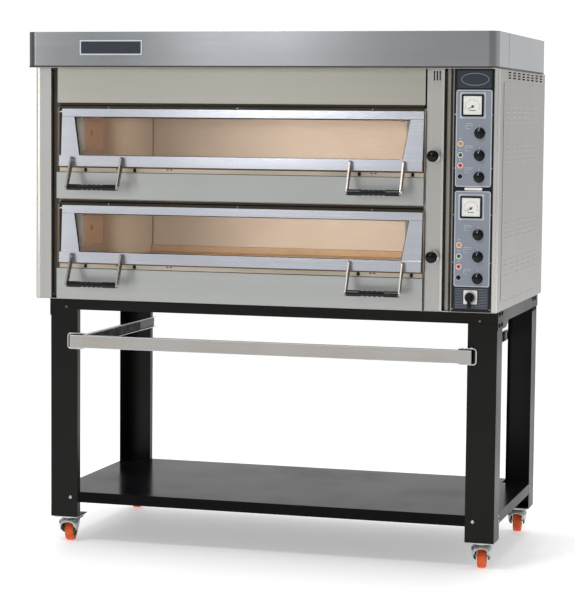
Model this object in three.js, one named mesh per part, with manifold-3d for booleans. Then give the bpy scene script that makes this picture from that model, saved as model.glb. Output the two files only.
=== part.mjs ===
// Twin-deck electric pizza oven on a wheeled stand with a pull-out loader bar.
// Millimetres, +Z up. The front faces -Y, and +X is to the right of a person at the doors.
// The design frame has x = 0 at the middle of the casing, y = 0 at the casing's front plane and
// z = 0 at the floor. The exported group is moved along Y so that its box is centred on the origin.
import * as THREE from 'three';
import { mergeVertices } from 'three/addons/utils/BufferGeometryUtils.js';
import Module from 'manifold-3d';

const wasm = await Module();
wasm.setup();

// ---- driving dimensions -------------------------------------------------------------------
const GAP = 0.3;                    // clearance between pieces that touch
const SHEET = 2;                    // casing sheet thickness

// casing
const CASE_HALF = 820;              // half the casing's width
const CASE_DEPTH = 900;
const CASE_BOTTOM = 893;
const CASE_TOP = 1700;
const CANOPY_HALF = 825;
const CANOPY_FRONT = -72;
const CANOPY_BACK = 838;
const CANOPY_TOP = 1820;
const CANOPY_CORNER = 34;           // radius of the canopy's front corners
const GLAND = { x: 720, z: 960 };   // cable gland on the back

// front layout, left to right
const COLUMN_RIGHT = -763;          // inner edge of the left corner column
const BAY_LEFT = -738;              // oven bay with the doors and panels
const BAY_RIGHT = 571;
const PILLAR = [576, 634];          // damper pillar
const PILLAR_SLOTS = { x: [598, 607.5, 617], z: [1660, 1691] };
const CONTROL_LEFT = 640;           // control column, from its groove
const PANEL = [668, 800];           // black control panel
const CORNER_LEFT = 801.5;          // right corner strip
const TOP_PANEL_Y = -2;
const LOWER_PANEL_Y = -12;
const TOP_PANEL_FOOT = 1578;        // lower edge of the panel over the upper door
const DECK_PANEL_FOOT = [1246, CASE_BOTTOM + 2.3];
const RETURN_DEPTH = 12;            // folded edges of the front panels

// decks: everything on a deck is placed from its floor, the top face of its baking stone
const DECK_FLOOR = [1356.5, 1021.5];
const DECK_NAMES = ['upper', 'lower'];
const CHAMBER_X = [-650, 505];
const CHAMBER_Y = [15, 735];
const CHAMBER_HEIGHT = 188;         // stone top to ceiling
const STONE = 19;                   // baking stone thickness
const FLANGE_Y = 12;                // front of the oven mouth's flange
const CHEEK = 3;                    // plates beside the door that carry its pivots

// doors, in a frame whose origin is the hinge axis: u along X, v up, w towards the back
const DOOR_X = [-716, 569.5];
const HINGE_RISE = 191;             // hinge axis above the deck floor
const HINGE_Y = -2;
const DOOR_LEAN = 4.3;              // degrees that the door's foot stands forward
const DOOR_TOP = 9;                 // door edge above the axis
const DOOR_FOOT = -190;             // lower edge of the bottom rail
const DOOR_FRONT = -12;
const DOOR_BACK = 9;
const TOP_RAIL = 27;
const BOTTOM_RAIL = 37;
const STILE = [45, 68];             // stile widths at the top and the foot of the window
const RAIL_PROUD = 7;               // bottom rail in front of the stiles
const PIVOT_R = 4;

// door handles, as offsets from the left end of the door
const HANDLE_X = [[46, 231], [1043, 1226]];
const GRIP_DROP = -265;             // grip centre below the hinge axis
const GRIP_OUT = -66;               // grip centre in front of the axis
const GRIP_R = 10.5;
const ARM = 3;                      // arm plate thickness

// controls on the panel, from each deck's floor
const GAUGE = { x: 731, rise: 222, size: 72 };
const KNOB = { x: 755, rises: [131, 58, -14], r: 18 };
const RESET = { x: 692, rise: -12, r: 7 };
const SWITCH = { x: 733, z: 945 };
const DAMPER = { x: 604, rise: 54, r: 20, centre: 27, shaft: 5 };

// stand
const STAND_HALF = 806;
const STAND_Y = [102, 893];
const LEG_FACE = 101;
const LEG_SIDE = 95;
const LEG_LIP = 28;
const LEG_BOTTOM = 99;
const FRAME_HEIGHT = 46;
const FRAME_TOP = CASE_BOTTOM - GAP;
const SHELF_Z = [154, 192];
const SLIDE_Z = [716, 756];
const SLIDE_WEB = 701;              // outer face of the slide channels
const RUNNER_X = [690, 697];        // sides of the bar's runners
const BAR = { half: 724, y: 74, z: [714, 758] };
const END_PLATE = { x: 705, half: 34, rise: 29, r: 12 };
const RUNNER_BACK = 712;

// castors
const CASTOR = { x: 756, ys: [152, 841], r: 40, width: 31, trail: 28, top: 92.7 };
const CASTOR_YAW = { front_left: 9, front_right: 8, rear_left: 5, rear_right: 6 };

// ---- materials ----------------------------------------------------------------------------
const finish = (color, roughness, metalness = 1) =>
  new THREE.MeshStandardMaterial({ color, roughness, metalness });
const steel = finish(0xb4b3ae, 0.35);
const brightSteel = finish(0xc4cad2, 0.25);
const stone = finish(0xc2a583, 0.9, 0);
const liner = finish(0xa89684, 0.6, 0.6);
const element = finish(0x5c5550, 0.5);
const black = finish(0x1b1a18, 0.45, 0.2);
const shelfPaint = finish(0x3d3c42, 0.35, 0.2);
const panelBlack = finish(0x15171c, 0.35, 0);
const plastic = finish(0x141414, 0.3, 0);
const zinc = finish(0xb8bec6, 0.3);
const orange = finish(0xe0451c, 0.5, 0);
const glass = new THREE.MeshStandardMaterial({
  color: 0x9a8f86, roughness: 0.05, metalness: 0, transparent: true, opacity: 0.3,
});

// ---- geometry helpers ---------------------------------------------------------------------
function slab(x0, x1, y0, y1, z0, z1) {
  return new THREE.BoxGeometry(x1 - x0, y1 - y0, z1 - z0)
    .translate((x0 + x1) / 2, (y0 + y1) / 2, (z0 + z1) / 2);
}

function outline(points) {
  return new THREE.Shape(points.map(([a, b]) => new THREE.Vector2(a, b)));
}

// a plan outline (x, y) raised from z0 to z1
function raised(shape, z0, z1, curveSegments = 8) {
  const geometry = new THREE.ExtrudeGeometry(shape, {
    depth: z1 - z0, bevelEnabled: false, curveSegments,
  });
  return geometry.translate(0, 0, z0);
}

// a front outline (x, z) extruded from y0 back to y1
function frontal(shape, y0, y1, curveSegments = 8) {
  return raised(shape, -y1, -y0, curveSegments).rotateX(Math.PI / 2);
}

// a side outline (y, z) extruded from x0 to x1
function sideways(shape, x0, x1, curveSegments = 8) {
  return raised(shape, x0, x1, curveSegments).rotateX(Math.PI / 2).rotateZ(Math.PI / 2);
}

// a profile of [radius, height] points turned about an axis pointing along -Y
function turned(profile, segments = 20) {
  const points = profile.map(([r, h]) => new THREE.Vector2(r, h));
  return new THREE.LatheGeometry(points, segments).rotateX(Math.PI);
}

function disc(r) {
  const shape = new THREE.Shape();
  shape.absarc(0, 0, r, 0, Math.PI * 2);
  return shape;
}

function solid(geometry) {
  const bare = geometry.clone();
  bare.deleteAttribute('normal');
  bare.deleteAttribute('uv');
  const merged = mergeVertices(bare, 1e-3);
  const corners = merged.index.array;
  const triangles = [];
  for (let i = 0; i < corners.length; i += 3) {
    const [a, b, c] = corners.slice(i, i + 3);
    if (a !== b && b !== c && c !== a) triangles.push(a, b, c);
  }
  return new wasm.Manifold(new wasm.Mesh({
    numProp: 3,
    vertProperties: new Float32Array(merged.attributes.position.array),
    triVerts: new Uint32Array(triangles),
  }));
}

function meshed(manifold) {
  const { vertProperties, triVerts } = manifold.getMesh();
  const geometry = new THREE.BufferGeometry();
  geometry.setAttribute('position', new THREE.BufferAttribute(vertProperties, 3));
  geometry.setIndex(new THREE.BufferAttribute(triVerts, 1));
  return geometry;
}

const joined = (...parts) => meshed(parts.map(solid).reduce((sum, part) => sum.add(part)));

function cut(body, ...tools) {
  return meshed(tools.map(solid).reduce((rest, tool) => rest.subtract(tool), solid(body)));
}

function rounded(halfW, halfH, r) {
  const shape = new THREE.Shape();
  shape.moveTo(-halfW + r, -halfH);
  shape.lineTo(halfW - r, -halfH);
  shape.absarc(halfW - r, -halfH + r, r, -Math.PI / 2, 0);
  shape.lineTo(halfW, halfH - r);
  shape.absarc(halfW - r, halfH - r, r, 0, Math.PI / 2);
  shape.lineTo(-halfW + r, halfH);
  shape.absarc(-halfW + r, halfH - r, r, Math.PI / 2, Math.PI);
  shape.lineTo(-halfW, -halfH + r);
  shape.absarc(-halfW + r, -halfH + r, r, Math.PI, Math.PI * 1.5);
  return shape;
}

// a front panel folded back along its four edges
function pan(x0, x1, z0, z1, front) {
  const back = front + RETURN_DEPTH;
  const hollow = slab(x0 + SHEET, x1 - SHEET, front + SHEET, back + 1, z0 + SHEET, z1 - SHEET);
  return cut(slab(x0, x1, front, back, z0, z1), hollow);
}

const oven = new THREE.Group();

function add(name, geometry, material, parent = oven) {
  const mesh = new THREE.Mesh(geometry, material);
  mesh.name = name;
  parent.add(mesh);
  return mesh;
}

// ---- casing -------------------------------------------------------------------------------
const SIDE_Z = [CASE_BOTTOM + SHEET + GAP, CASE_TOP - SHEET - 2 * GAP];

function sideProfile(inner) {
  const skin = CASE_HALF - SHEET;
  const back = CASE_DEPTH;
  return [
    [CASE_HALF, 0], [CASE_HALF, back], [CASE_HALF - 20, back], [CASE_HALF - 20, back - SHEET],
    [skin, back - SHEET], [skin, SHEET], [inner + SHEET, SHEET], [inner + SHEET, 18],
    [inner, 18], [inner, 0],
  ];
}

// rows of short cooling slots under the canopy, each cut through the side skin
function sideSlots() {
  const columns = 8;
  const rows = 3;
  const tools = [];
  for (let column = 0; column < columns; column += 1) {
    for (let row = 0; row < rows; row += 1) {
      const y = 150 + column * 90;
      const z = 1670 + row * 9;
      tools.push(slab(CASE_HALF - 10, CASE_HALF + 1, y, y + 54, z, z + 4.5));
    }
  }
  return tools;
}

// shallow seams round the service cover on a side skin
function sideSeams() {
  const reach = [CASE_HALF - 0.8, CASE_HALF + 1];
  return [
    slab(...reach, 8, CASE_DEPTH - 8, 924, 926),
    slab(...reach, 8, CASE_DEPTH - 8, 1659, 1661),
  ];
}

function buildCasing() {
  const left = outline(sideProfile(-COLUMN_RIGHT).map(([x, y]) => [-x, y]));
  add('left_side_panel', raised(left, ...SIDE_Z), steel);
  const right = raised(outline(sideProfile(CORNER_LEFT)), ...SIDE_Z);
  add('right_side_panel', cut(right, ...sideSlots(), ...sideSeams()), steel);

  const half = CASE_HALF - SHEET - GAP;
  const back = CASE_DEPTH - SHEET - GAP;
  const base = slab(-half, half, 3, back, CASE_BOTTOM, CASE_BOTTOM + SHEET);
  const wall = slab(-half, half, back - SHEET, back, CASE_BOTTOM + 1, SIDE_Z[1]);
  const louvres = [];
  for (let row = 0; row < 6; row += 1) {
    for (const x of [430, 560, 690]) {
      const z = 1500 + row * 22;
      louvres.push(slab(x, x + 90, back - 10, back + 10, z, z + 6));
    }
  }
  add('base_and_back_panel', cut(joined(base, wall), ...louvres), steel);
  add('roof_panel', slab(-CANOPY_HALF + 4, CANOPY_HALF - 4, CANOPY_FRONT + 4, CASE_DEPTH,
    CASE_TOP - SHEET - GAP, CASE_TOP - GAP), steel);

  const plan = (inset) => {
    const half = CANOPY_HALF - inset;
    const r = CANOPY_CORNER - inset;
    const shape = new THREE.Shape();
    shape.moveTo(half, CANOPY_BACK - inset);
    shape.lineTo(-half, CANOPY_BACK - inset);
    shape.lineTo(-half, CANOPY_FRONT + inset + r);
    shape.absarc(-half + r, CANOPY_FRONT + inset + r, r, Math.PI, Math.PI * 1.5);
    shape.lineTo(half - r, CANOPY_FRONT + inset);
    shape.absarc(half - r, CANOPY_FRONT + inset + r, r, Math.PI * 1.5, Math.PI * 2);
    return shape;
  };
  const hollow = raised(plan(SHEET), CASE_TOP - 1, CANOPY_TOP - SHEET);
  add('canopy', cut(raised(plan(0), CASE_TOP, CANOPY_TOP), hollow), brightSteel);

  const gland = turned([[0, 0], [14, 0], [14, 10], [10, 12], [9, 22], [0, 22]], 16);
  gland.rotateZ(Math.PI).translate(GLAND.x, back + GAP, GLAND.z);
  add('cable_gland', gland, plastic);
}

// ---- front panels -------------------------------------------------------------------------
function buildFront() {
  add('top_front_panel', pan(BAY_LEFT, BAY_RIGHT, TOP_PANEL_FOOT, SIDE_Z[1], TOP_PANEL_Y), steel);
  DECK_FLOOR.forEach((floor, deck) => {
    add(`${DECK_NAMES[deck]}_deck_front_panel`,
      pan(BAY_LEFT, BAY_RIGHT, DECK_PANEL_FOOT[deck], floor - STONE - GAP, LOWER_PANEL_Y), steel);
  });

  const pillar = outline([
    [PILLAR[0], 0], [PILLAR[1], 0], [PILLAR[1], 26], [PILLAR[1] - SHEET, 26],
    [PILLAR[1] - SHEET, SHEET], [PILLAR[0] + SHEET, SHEET], [PILLAR[0] + SHEET, 18],
    [PILLAR[0], 18],
  ]);
  const tools = PILLAR_SLOTS.x.map((x) => slab(x, x + 4, -1, 4, ...PILLAR_SLOTS.z));
  for (const floor of DECK_FLOOR) {
    const boreR = DAMPER.shaft + 1.5;
      const bore = turned([[0, 0], [boreR, 0], [boreR, 8], [0, 8]], 16);
    tools.push(bore.translate(DAMPER.x, 6, floor + DAMPER.rise));
  }
  add('damper_pillar', cut(raised(pillar, ...SIDE_Z), ...tools), steel);

  // groove beside the pillar, then the flat that the control panel is screwed to
  const column = outline([
    [CONTROL_LEFT, 22], [652, 22], [664, 2], [PANEL[1] - 2, 2], [PANEL[1] - 2, 18],
    [PANEL[1] - 4, 18], [PANEL[1] - 4, 4], [665, 4], [653, 24], [CONTROL_LEFT, 24],
  ]);
  add('control_column', raised(column, ...SIDE_Z), brightSteel);

  const face = outline([[PANEL[0], SIDE_Z[0]], [PANEL[1], SIDE_Z[0]], [PANEL[1], SIDE_Z[1]],
    [PANEL[0], SIDE_Z[1]]]);
  for (const floor of DECK_FLOOR) {
    const hole = new THREE.Path();
    hole.absarc(RESET.x, floor + RESET.rise, RESET.r + 0.8, 0, Math.PI * 2, true);
    face.holes.push(hole);
  }
  add('control_panel', frontal(face, -2, 1.6, 10), panelBlack);
}

// ---- controls -----------------------------------------------------------------------------
const PANEL_FACE = -2 - GAP;        // pieces on the control panel start here

function buildControls() {
  DECK_FLOOR.forEach((floor, deck) => {
    const name = DECK_NAMES[deck];
    const half = GAUGE.size / 2;
    const bezel = frontal(rounded(half, half, 4), -9, 0, 3);
    const dial = frontal(rounded(half - 5, half - 5, 2), -10, -6, 3);
    const gauge = cut(bezel, dial).translate(GAUGE.x, PANEL_FACE, floor + GAUGE.rise);
    add(`${name}_gauge`, gauge, plastic);

    ['top_heat', 'floor_heat', 'chamber'].forEach((role, index) => {
      const r = KNOB.r;
      const skirt = turned([[0, 0], [r, 0], [r, 3], [r - 4, 5], [r - 5, 17], [0, 17]], 18);
      const knob = add(`${name}_${role}_knob`, skirt, plastic);
      knob.position.set(KNOB.x, PANEL_FACE, floor + KNOB.rises[index]);
    });

    const stem = turned([[0, 0], [RESET.r, 0], [RESET.r, 6], [RESET.r - 1.5, 7.5], [0, 7.5]], 16);
    const reset = add(`${name}_reset_button`, stem, plastic);
    reset.position.set(RESET.x, -1.6, floor + RESET.rise);

    const { r: ballR, centre, shaft } = DAMPER;
    const ball = [[0, -78], [shaft, -78], [shaft, 0], [12, 0], [12, 6], [7, 8]];
    const arcs = 9;
    for (let arc = 1; arc <= arcs; arc += 1) {
      const turn = Math.PI * (0.11 + 0.89 * (arc / arcs));
      ball.push([Math.max(0, ballR * Math.sin(turn)), centre - ballR * Math.cos(turn)]);
    }
    const damper = add(`${name}_damper_knob`, turned(ball, 16), plastic);
    damper.position.set(DAMPER.x, -2, floor + DAMPER.rise);
  });

  const hub = turned([[0, 0], [15, 0], [14, 9], [0, 9]], 20);
  const lever = slab(-6, 6, -22, -8, -34, 12);
  const mainSwitch = add('main_switch', joined(hub, lever), plastic);
  mainSwitch.position.set(SWITCH.x, PANEL_FACE - 5, SWITCH.z);
}

// ---- decks --------------------------------------------------------------------------------
function buildDeck(floor, deck) {
  const name = DECK_NAMES[deck];
  const [x0, x1] = CHAMBER_X;
  const [y0, y1] = CHAMBER_Y;
  const ceiling = floor + CHAMBER_HEIGHT;
  const under = floor - STONE - 1;
  const wall = 3;

  // welded liner: a box open to the front, with a flange round its mouth and two pivot cheeks
  const shell = slab(x0 - wall, x1 + wall, FLANGE_Y, y1 + wall, under - wall, ceiling + wall);
  const flange = slab(BAY_LEFT + 2, BAY_RIGHT + 2, FLANGE_Y, FLANGE_Y + wall,
    floor - 124.7, floor + 209.7);
  const cheekLeft = slab(BAY_LEFT + 3, BAY_LEFT + 3 + CHEEK, -14, FLANGE_Y + 1,
    floor + 3, floor + 204);
  const cheekRight = slab(BAY_RIGHT, BAY_RIGHT + 2, -14, FLANGE_Y + 1, floor + 3, floor + 204);
  const pivots = sideways(disc(PIVOT_R + 0.6), BAY_LEFT - 10, BAY_RIGHT + 10, 8)
    .translate(0, HINGE_Y, floor + HINGE_RISE);
  const mouth = slab(x0, x1, FLANGE_Y - 5, y1, under, ceiling);
  add(`${name}_chamber`, cut(joined(shell, flange, cheekLeft, cheekRight), mouth, pivots), liner);

  // baking floor, with a wider nosing that fills the slot under the door
  const slabBody = slab(x0 + 1, x1 - 1, FLANGE_Y - 1, y1 - 2, floor - STONE, floor);
  const nosing = slab(BAY_LEFT + 8, BAY_RIGHT - 2, -3, FLANGE_Y - GAP, floor - STONE, floor - 2);
  add(`${name}_baking_stone`, joined(slabBody, nosing), stone);

  // tubular heating element under the ceiling: a flat serpentine with its ends at the right wall
  const path = new THREE.CurvePath();
  const runs = [90, 210, 330, 450, 570, 680];
  const level = ceiling - 14;
  const reach = [x0 + 60, x1 - 40];
  runs.forEach((y, index) => {
    const forward = index % 2 === 0;
    const from = forward ? reach[1] : reach[0];
    const to = forward ? reach[0] : reach[1];
    path.add(new THREE.LineCurve3(new THREE.Vector3(from, y, level),
      new THREE.Vector3(to, y, level)));
    if (index + 1 < runs.length) {
      const bulge = to + (forward ? -1 : 1) * 38;
      path.add(new THREE.CubicBezierCurve3(new THREE.Vector3(to, y, level),
        new THREE.Vector3(bulge, y, level), new THREE.Vector3(bulge, runs[index + 1], level),
        new THREE.Vector3(to, runs[index + 1], level)));
    }
  });
  const section = new THREE.Shape();
  section.absarc(0, 0, 4.5, 0, Math.PI * 2);
  add(`${name}_heating_element`, new THREE.ExtrudeGeometry(section, {
    extrudePath: path, steps: 66, bevelEnabled: false, curveSegments: 3,
  }), element);
}

// ---- doors --------------------------------------------------------------------------------
function buildDoor(floor, deck) {
  const name = DECK_NAMES[deck];
  const door = new THREE.Group();
  door.position.set(0, HINGE_Y, floor + HINGE_RISE);
  door.rotation.x = THREE.MathUtils.degToRad(-DOOR_LEAN);
  oven.add(door);
  const [x0, x1] = DOOR_X;
  const windowTop = DOOR_TOP - TOP_RAIL;
  const windowFoot = DOOR_FOOT + BOTTOM_RAIL;

  const windowShape = (margin) => outline([
    [x0 + STILE[0] - margin, windowTop + margin], [x0 + STILE[1] - margin, windowFoot - margin],
    [x1 - STILE[1] + margin, windowFoot - margin], [x1 - STILE[0] + margin, windowTop + margin],
  ]);
  const leaf = slab(x0, x1, DOOR_FRONT, DOOR_BACK, DOOR_FOOT, DOOR_TOP);
  const rail = slab(x0 - 4, x1, DOOR_FRONT - RAIL_PROUD, DOOR_BACK, DOOR_FOOT, windowFoot);
  const pins = sideways(disc(PIVOT_R), x0 - 22, x1 + 3, 6);
  const sight = frontal(windowShape(0), DOOR_FRONT - 30, DOOR_BACK + 5);
  const groove = frontal(windowShape(9), -4, 3);
  add(`${name}_door_frame`, cut(joined(leaf, rail, pins), sight, groove), brightSteel, door);
  add(`${name}_door_glass`, frontal(windowShape(8.6), -3.5, 2.5), glass, door);

  ['left', 'right'].forEach((side, index) => {
    const [a, b] = HANDLE_X[index].map((offset) => x0 + offset);
    const face = DOOR_FRONT - RAIL_PROUD - GAP;
    const arm = new THREE.Shape();
    arm.moveTo(face, DOOR_FOOT + 4);
    arm.lineTo(face, DOOR_FOOT + 22);
    arm.absarc(face - 11, DOOR_FOOT + 22, 11, 0, Math.PI);
    arm.lineTo(GRIP_OUT - 9, GRIP_DROP + 3);
    arm.absarc(GRIP_OUT, GRIP_DROP, 9.5, Math.PI * 0.9, Math.PI * 1.97);
    arm.lineTo(face - 8, DOOR_FOOT + 2);
    const plates = [a, b].map((x) => sideways(arm, x - ARM / 2, x + ARM / 2, 5));
    const rod = turned([[0, 0], [4, 0], [4, b - a], [0, b - a]], 10).rotateZ(Math.PI / 2)
      .translate(a, GRIP_OUT, GRIP_DROP);
    add(`${name}_door_${side}_handle_arms`, joined(...plates, rod), brightSteel, door);

    const length = b - a - ARM - 2 * GAP;
    const sleeve = [[4.4, 0], [GRIP_R, 0], [GRIP_R, length], [4.4, length], [4.4, 0]];
    const grip = turned(sleeve, 16).rotateZ(Math.PI / 2)
      .translate(a + ARM / 2 + GAP, GRIP_OUT, GRIP_DROP);
    add(`${name}_door_${side}_grip`, grip, plastic, door);
  });
}

// ---- stand --------------------------------------------------------------------------------
function buildLeg(side, end) {
  const sign = side === 'left' ? -1 : 1;
  const face = STAND_HALF - LEG_FACE;
  const profile = [
    [STAND_HALF, 0], [STAND_HALF, LEG_SIDE], [STAND_HALF - SHEET, LEG_SIDE],
    [STAND_HALF - SHEET, SHEET], [face + SHEET, SHEET], [face + SHEET, LEG_LIP],
    [face, LEG_LIP], [face, 0],
  ];
  const place = ([x, y]) => [sign * x, end === 'front' ? STAND_Y[0] + y : STAND_Y[1] - y];
  const post = raised(outline(profile.map(place)), LEG_BOTTOM, FRAME_TOP - 3 - GAP);
  const [xa, ya] = place([face + 1, 1]);
  const [xb, yb] = place([STAND_HALF - 1, LEG_SIDE]);
  const foot = slab(Math.min(xa, xb), Math.max(xa, xb), Math.min(ya, yb), Math.max(ya, yb),
    LEG_BOTTOM, LEG_BOTTOM + 4);
  add(`${end}_${side}_leg`, joined(post, foot), black);
}

function buildTopFrame() {
  const skin = 2.4;
  const half = STAND_HALF + GAP + skin;
  const y0 = STAND_Y[0] - GAP - skin;
  const y1 = STAND_Y[1] + GAP + skin;
  const ring = (inset) => {
    const shape = outline([[-half, y0], [half, y0], [half, y1], [-half, y1]]);
    const hole = new THREE.Path();
    hole.setFromPoints([[-1, -1], [-1, 1], [1, 1], [1, -1]].map(([a, b]) => new THREE.Vector2(
      a * (half - inset), b < 0 ? y0 + inset : y1 - inset)));
    shape.holes.push(hole);
    return shape;
  };
  const skirt = raised(ring(skin), FRAME_TOP - FRAME_HEIGHT, FRAME_TOP);
  const ledge = raised(ring(60), FRAME_TOP - 3, FRAME_TOP);
  const low = FRAME_TOP - FRAME_HEIGHT;
  const gusset = outline([[y0, low + 5], [y0, low - 22], [y0 + 150, low - 22],
    [y0 + 190, low - 8], [y0 + 196, low + 5]]);
  const gussets = [sideways(gusset, -half, -half + skin), sideways(gusset, half - skin, half)];
  add('stand_top_frame', joined(skirt, ledge, ...gussets), black);
}

function buildShelf() {
  const plan = (inset) => {
    const inner = STAND_HALF - LEG_FACE - GAP - inset;
    const outer = STAND_HALF - inset;
    const [front, back] = [STAND_Y[0] + inset, STAND_Y[1] - inset];
    const notch = LEG_SIDE + GAP + inset;
    const right = [[inner, front], [inner, STAND_Y[0] + notch], [outer, STAND_Y[0] + notch],
      [outer, STAND_Y[1] - notch], [inner, STAND_Y[1] - notch], [inner, back]];
    return outline([...right, ...right.toReversed().map(([x, y]) => [-x, y])]);
  };
  const tray = raised(plan(0), ...SHELF_Z);
  const hollow = raised(plan(SHEET), SHELF_Z[0] - 1, SHELF_Z[1] - SHEET);
  add('shelf', cut(tray, hollow), shelfPaint);
}

function buildLoader() {
  const channelDepth = 15;
  for (const [side, sign] of [['left', -1], ['right', 1]]) {
    const web = SLIDE_WEB;
    const lip = web - channelDepth;
    const section = [[web, 0], [web, 40], [lip, 40], [lip, 38], [web - 2, 38], [web - 2, 2],
      [lip, 2], [lip, 0]];
    const profile = outline(section.map(([x, z]) => [sign * x, SLIDE_Z[0] + z]));
    add(`${side}_slide_channel`, frontal(profile, STAND_Y[0] + 5, STAND_Y[1] - 4), brightSteel);
  }

  // bar with folded edges, an end plate at each side and the runners that ride in the channels
  const { half, y, z } = BAR;
  const back = STAND_Y[0] - 5;
  const bar = cut(slab(-half, half, y, back, ...z),
    slab(-half - 1, half + 1, y + 2, back + 1, z[0] + 2, z[1] - 2));
  const middle = (z[0] + z[1]) / 2;
  const pieces = [bar];
  for (const sign of [-1, 1]) {
    const end = rounded(END_PLATE.half, END_PLATE.rise, END_PLATE.r);
    const plate = frontal(end, back - 0.5, back + 2.5, 4);
    pieces.push(plate.translate(sign * END_PLATE.x, 0, middle));
    const runner = RUNNER_X.map((x) => x * sign).sort((a, b) => a - b);
    pieces.push(slab(...runner, back + 1, RUNNER_BACK, SLIDE_Z[0] + 5, SLIDE_Z[1] - 5));
  }
  add('pull_out_bar', joined(...pieces), brightSteel);
}

// ---- castors ------------------------------------------------------------------------------
function buildCastor(side, end) {
  const castor = new THREE.Group();
  const x = side === 'left' ? -CASTOR.x : CASTOR.x;
  castor.position.set(x, CASTOR.ys[end === 'front' ? 0 : 1], 0);
  castor.rotation.z = THREE.MathUtils.degToRad(CASTOR_YAW[`${end}_${side}`]);
  oven.add(castor);

  const { r, width, trail, top } = CASTOR;
  const cheek = new THREE.Shape();
  cheek.moveTo(-30, top - 9);
  cheek.lineTo(-26, top - 30);
  cheek.absarc(trail, r, 13, Math.PI * 1.28, Math.PI * 2.1);
  cheek.lineTo(40, top - 9);
  const half = width / 2 + 6;
  const housing = sideways(cheek, -half, half, 5);
  const cap = new THREE.CylinderGeometry(34, 37, 10, 20).rotateX(Math.PI / 2)
    .translate(0, 0, top - 5);
  const bay = slab(-half + 3, half - 3, -60, 90, -10, 2 * r + 1.5);
  const axle = sideways(disc(4), -half - 3, half + 3, 5).translate(0, trail, r);
  add(`${end}_${side}_castor_fork`, joined(cut(joined(housing, cap), bay), axle), zinc, castor);

  const rim = width / 2;
  const tread = [[4.6, -rim], [r - 6, -rim], [r, -rim + 5], [r, rim - 5], [r - 6, rim],
    [4.6, rim], [4.6, -rim]];
  const wheel = turned(tread, 40).rotateZ(Math.PI / 2).translate(0, trail, r);
  add(`${end}_${side}_castor_wheel`, wheel, orange, castor);
}

buildCasing();
buildFront();
buildControls();
DECK_FLOOR.forEach(buildDeck);
DECK_FLOOR.forEach(buildDoor);
for (const end of ['front', 'rear']) {
  for (const side of ['left', 'right']) {
    buildLeg(side, end);
    buildCastor(side, end);
  }
}
buildTopFrame();
buildShelf();
buildLoader();

// stand the object on the origin, at the middle of its own box
const whole = new THREE.Group();
whole.add(oven);
whole.updateMatrixWorld(true);
const reach = new THREE.Box3().setFromObject(whole, true);
oven.position.y = -(reach.min.y + reach.max.y) / 2;
oven.updateMatrixWorld(true);

export default whole;
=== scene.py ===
"""Looks for a twin-deck pizza oven on a wheeled stand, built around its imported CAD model.

Sizes and places are in millimetres, in the casing's frame: x from the middle of the casing and to
the right, y from its front plane towards the back, z up from the floor.
"""
import math

import bmesh
import bpy
from mathutils import Matrix, Vector


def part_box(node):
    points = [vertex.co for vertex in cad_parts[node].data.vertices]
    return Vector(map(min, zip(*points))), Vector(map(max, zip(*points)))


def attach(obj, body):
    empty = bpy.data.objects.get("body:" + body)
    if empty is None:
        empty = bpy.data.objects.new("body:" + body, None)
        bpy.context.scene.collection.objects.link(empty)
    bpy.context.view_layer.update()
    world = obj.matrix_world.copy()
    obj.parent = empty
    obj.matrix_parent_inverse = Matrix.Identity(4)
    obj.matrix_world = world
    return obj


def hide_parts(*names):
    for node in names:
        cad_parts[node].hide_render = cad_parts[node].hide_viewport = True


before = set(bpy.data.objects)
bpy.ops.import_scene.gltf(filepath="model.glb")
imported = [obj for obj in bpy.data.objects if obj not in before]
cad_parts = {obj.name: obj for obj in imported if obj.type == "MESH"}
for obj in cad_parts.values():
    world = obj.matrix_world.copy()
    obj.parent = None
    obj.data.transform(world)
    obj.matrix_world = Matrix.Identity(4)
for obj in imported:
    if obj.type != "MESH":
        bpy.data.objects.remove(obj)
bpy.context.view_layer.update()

# ---- the frame in millimetres ---------------------------------------------------------------
MM = 0.001
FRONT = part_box("left_side_panel")[0].y
TO_ROW = Matrix.Translation((0, FRONT, 0)) @ Matrix.Scale(MM, 4)
X, Y, Z = Vector((1, 0, 0)), Vector((0, 1, 0)), Vector((0, 0, 1))


def extent(node):
    """A CAD node's lowest and highest corners, in millimetres."""
    return tuple((corner - Y * FRONT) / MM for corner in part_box(node))


def middle(node):
    """The middle of a CAD node's box, in millimetres."""
    low, high = extent(node)
    return (low + high) / 2


DECKS = ("upper", "lower")
SIDES = (("left", -1), ("right", 1))
FLOOR = {deck: extent(f"{deck}_baking_stone")[1].z for deck in DECKS}
CASE_HALF = extent("right_side_panel")[1].x
CASE_LOW = extent("right_side_panel")[0].z
CASE_BACK = extent("base_and_back_panel")[1].y
CANOPY_LOW, CANOPY_HIGH = extent("canopy")
PANEL_Y = extent("control_panel")[0].y         # face of the control panel
BAY_LEFT, BAY_RIGHT = -738, 571                # oven bay between the column and the damper pillar

# doors, in a frame with its origin on the hinge axis: x, w towards the back, v up
HINGE_RISE = 191                               # height of the hinge axis above the deck's floor
HINGE_Y = -2
DOOR_LEAN = math.radians(4.3)
DOOR_X = (-716, 569.5)
DOOR_TOP, DOOR_FOOT = 9, -190
DOOR_FRONT, RAIL_PROUD = -12, 7
TOP_RAIL, BOTTOM_RAIL = 27, 37
STILE_TOP, STILE_FOOT = 45, 68                 # widths of a stile at its ends
HANDLES = {"left": (-670, -485), "right": (327, 510)}      # x of each handle's two arms
GRIP_V, GRIP_W, GRIP_R = -265, -66, 10.5

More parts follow.
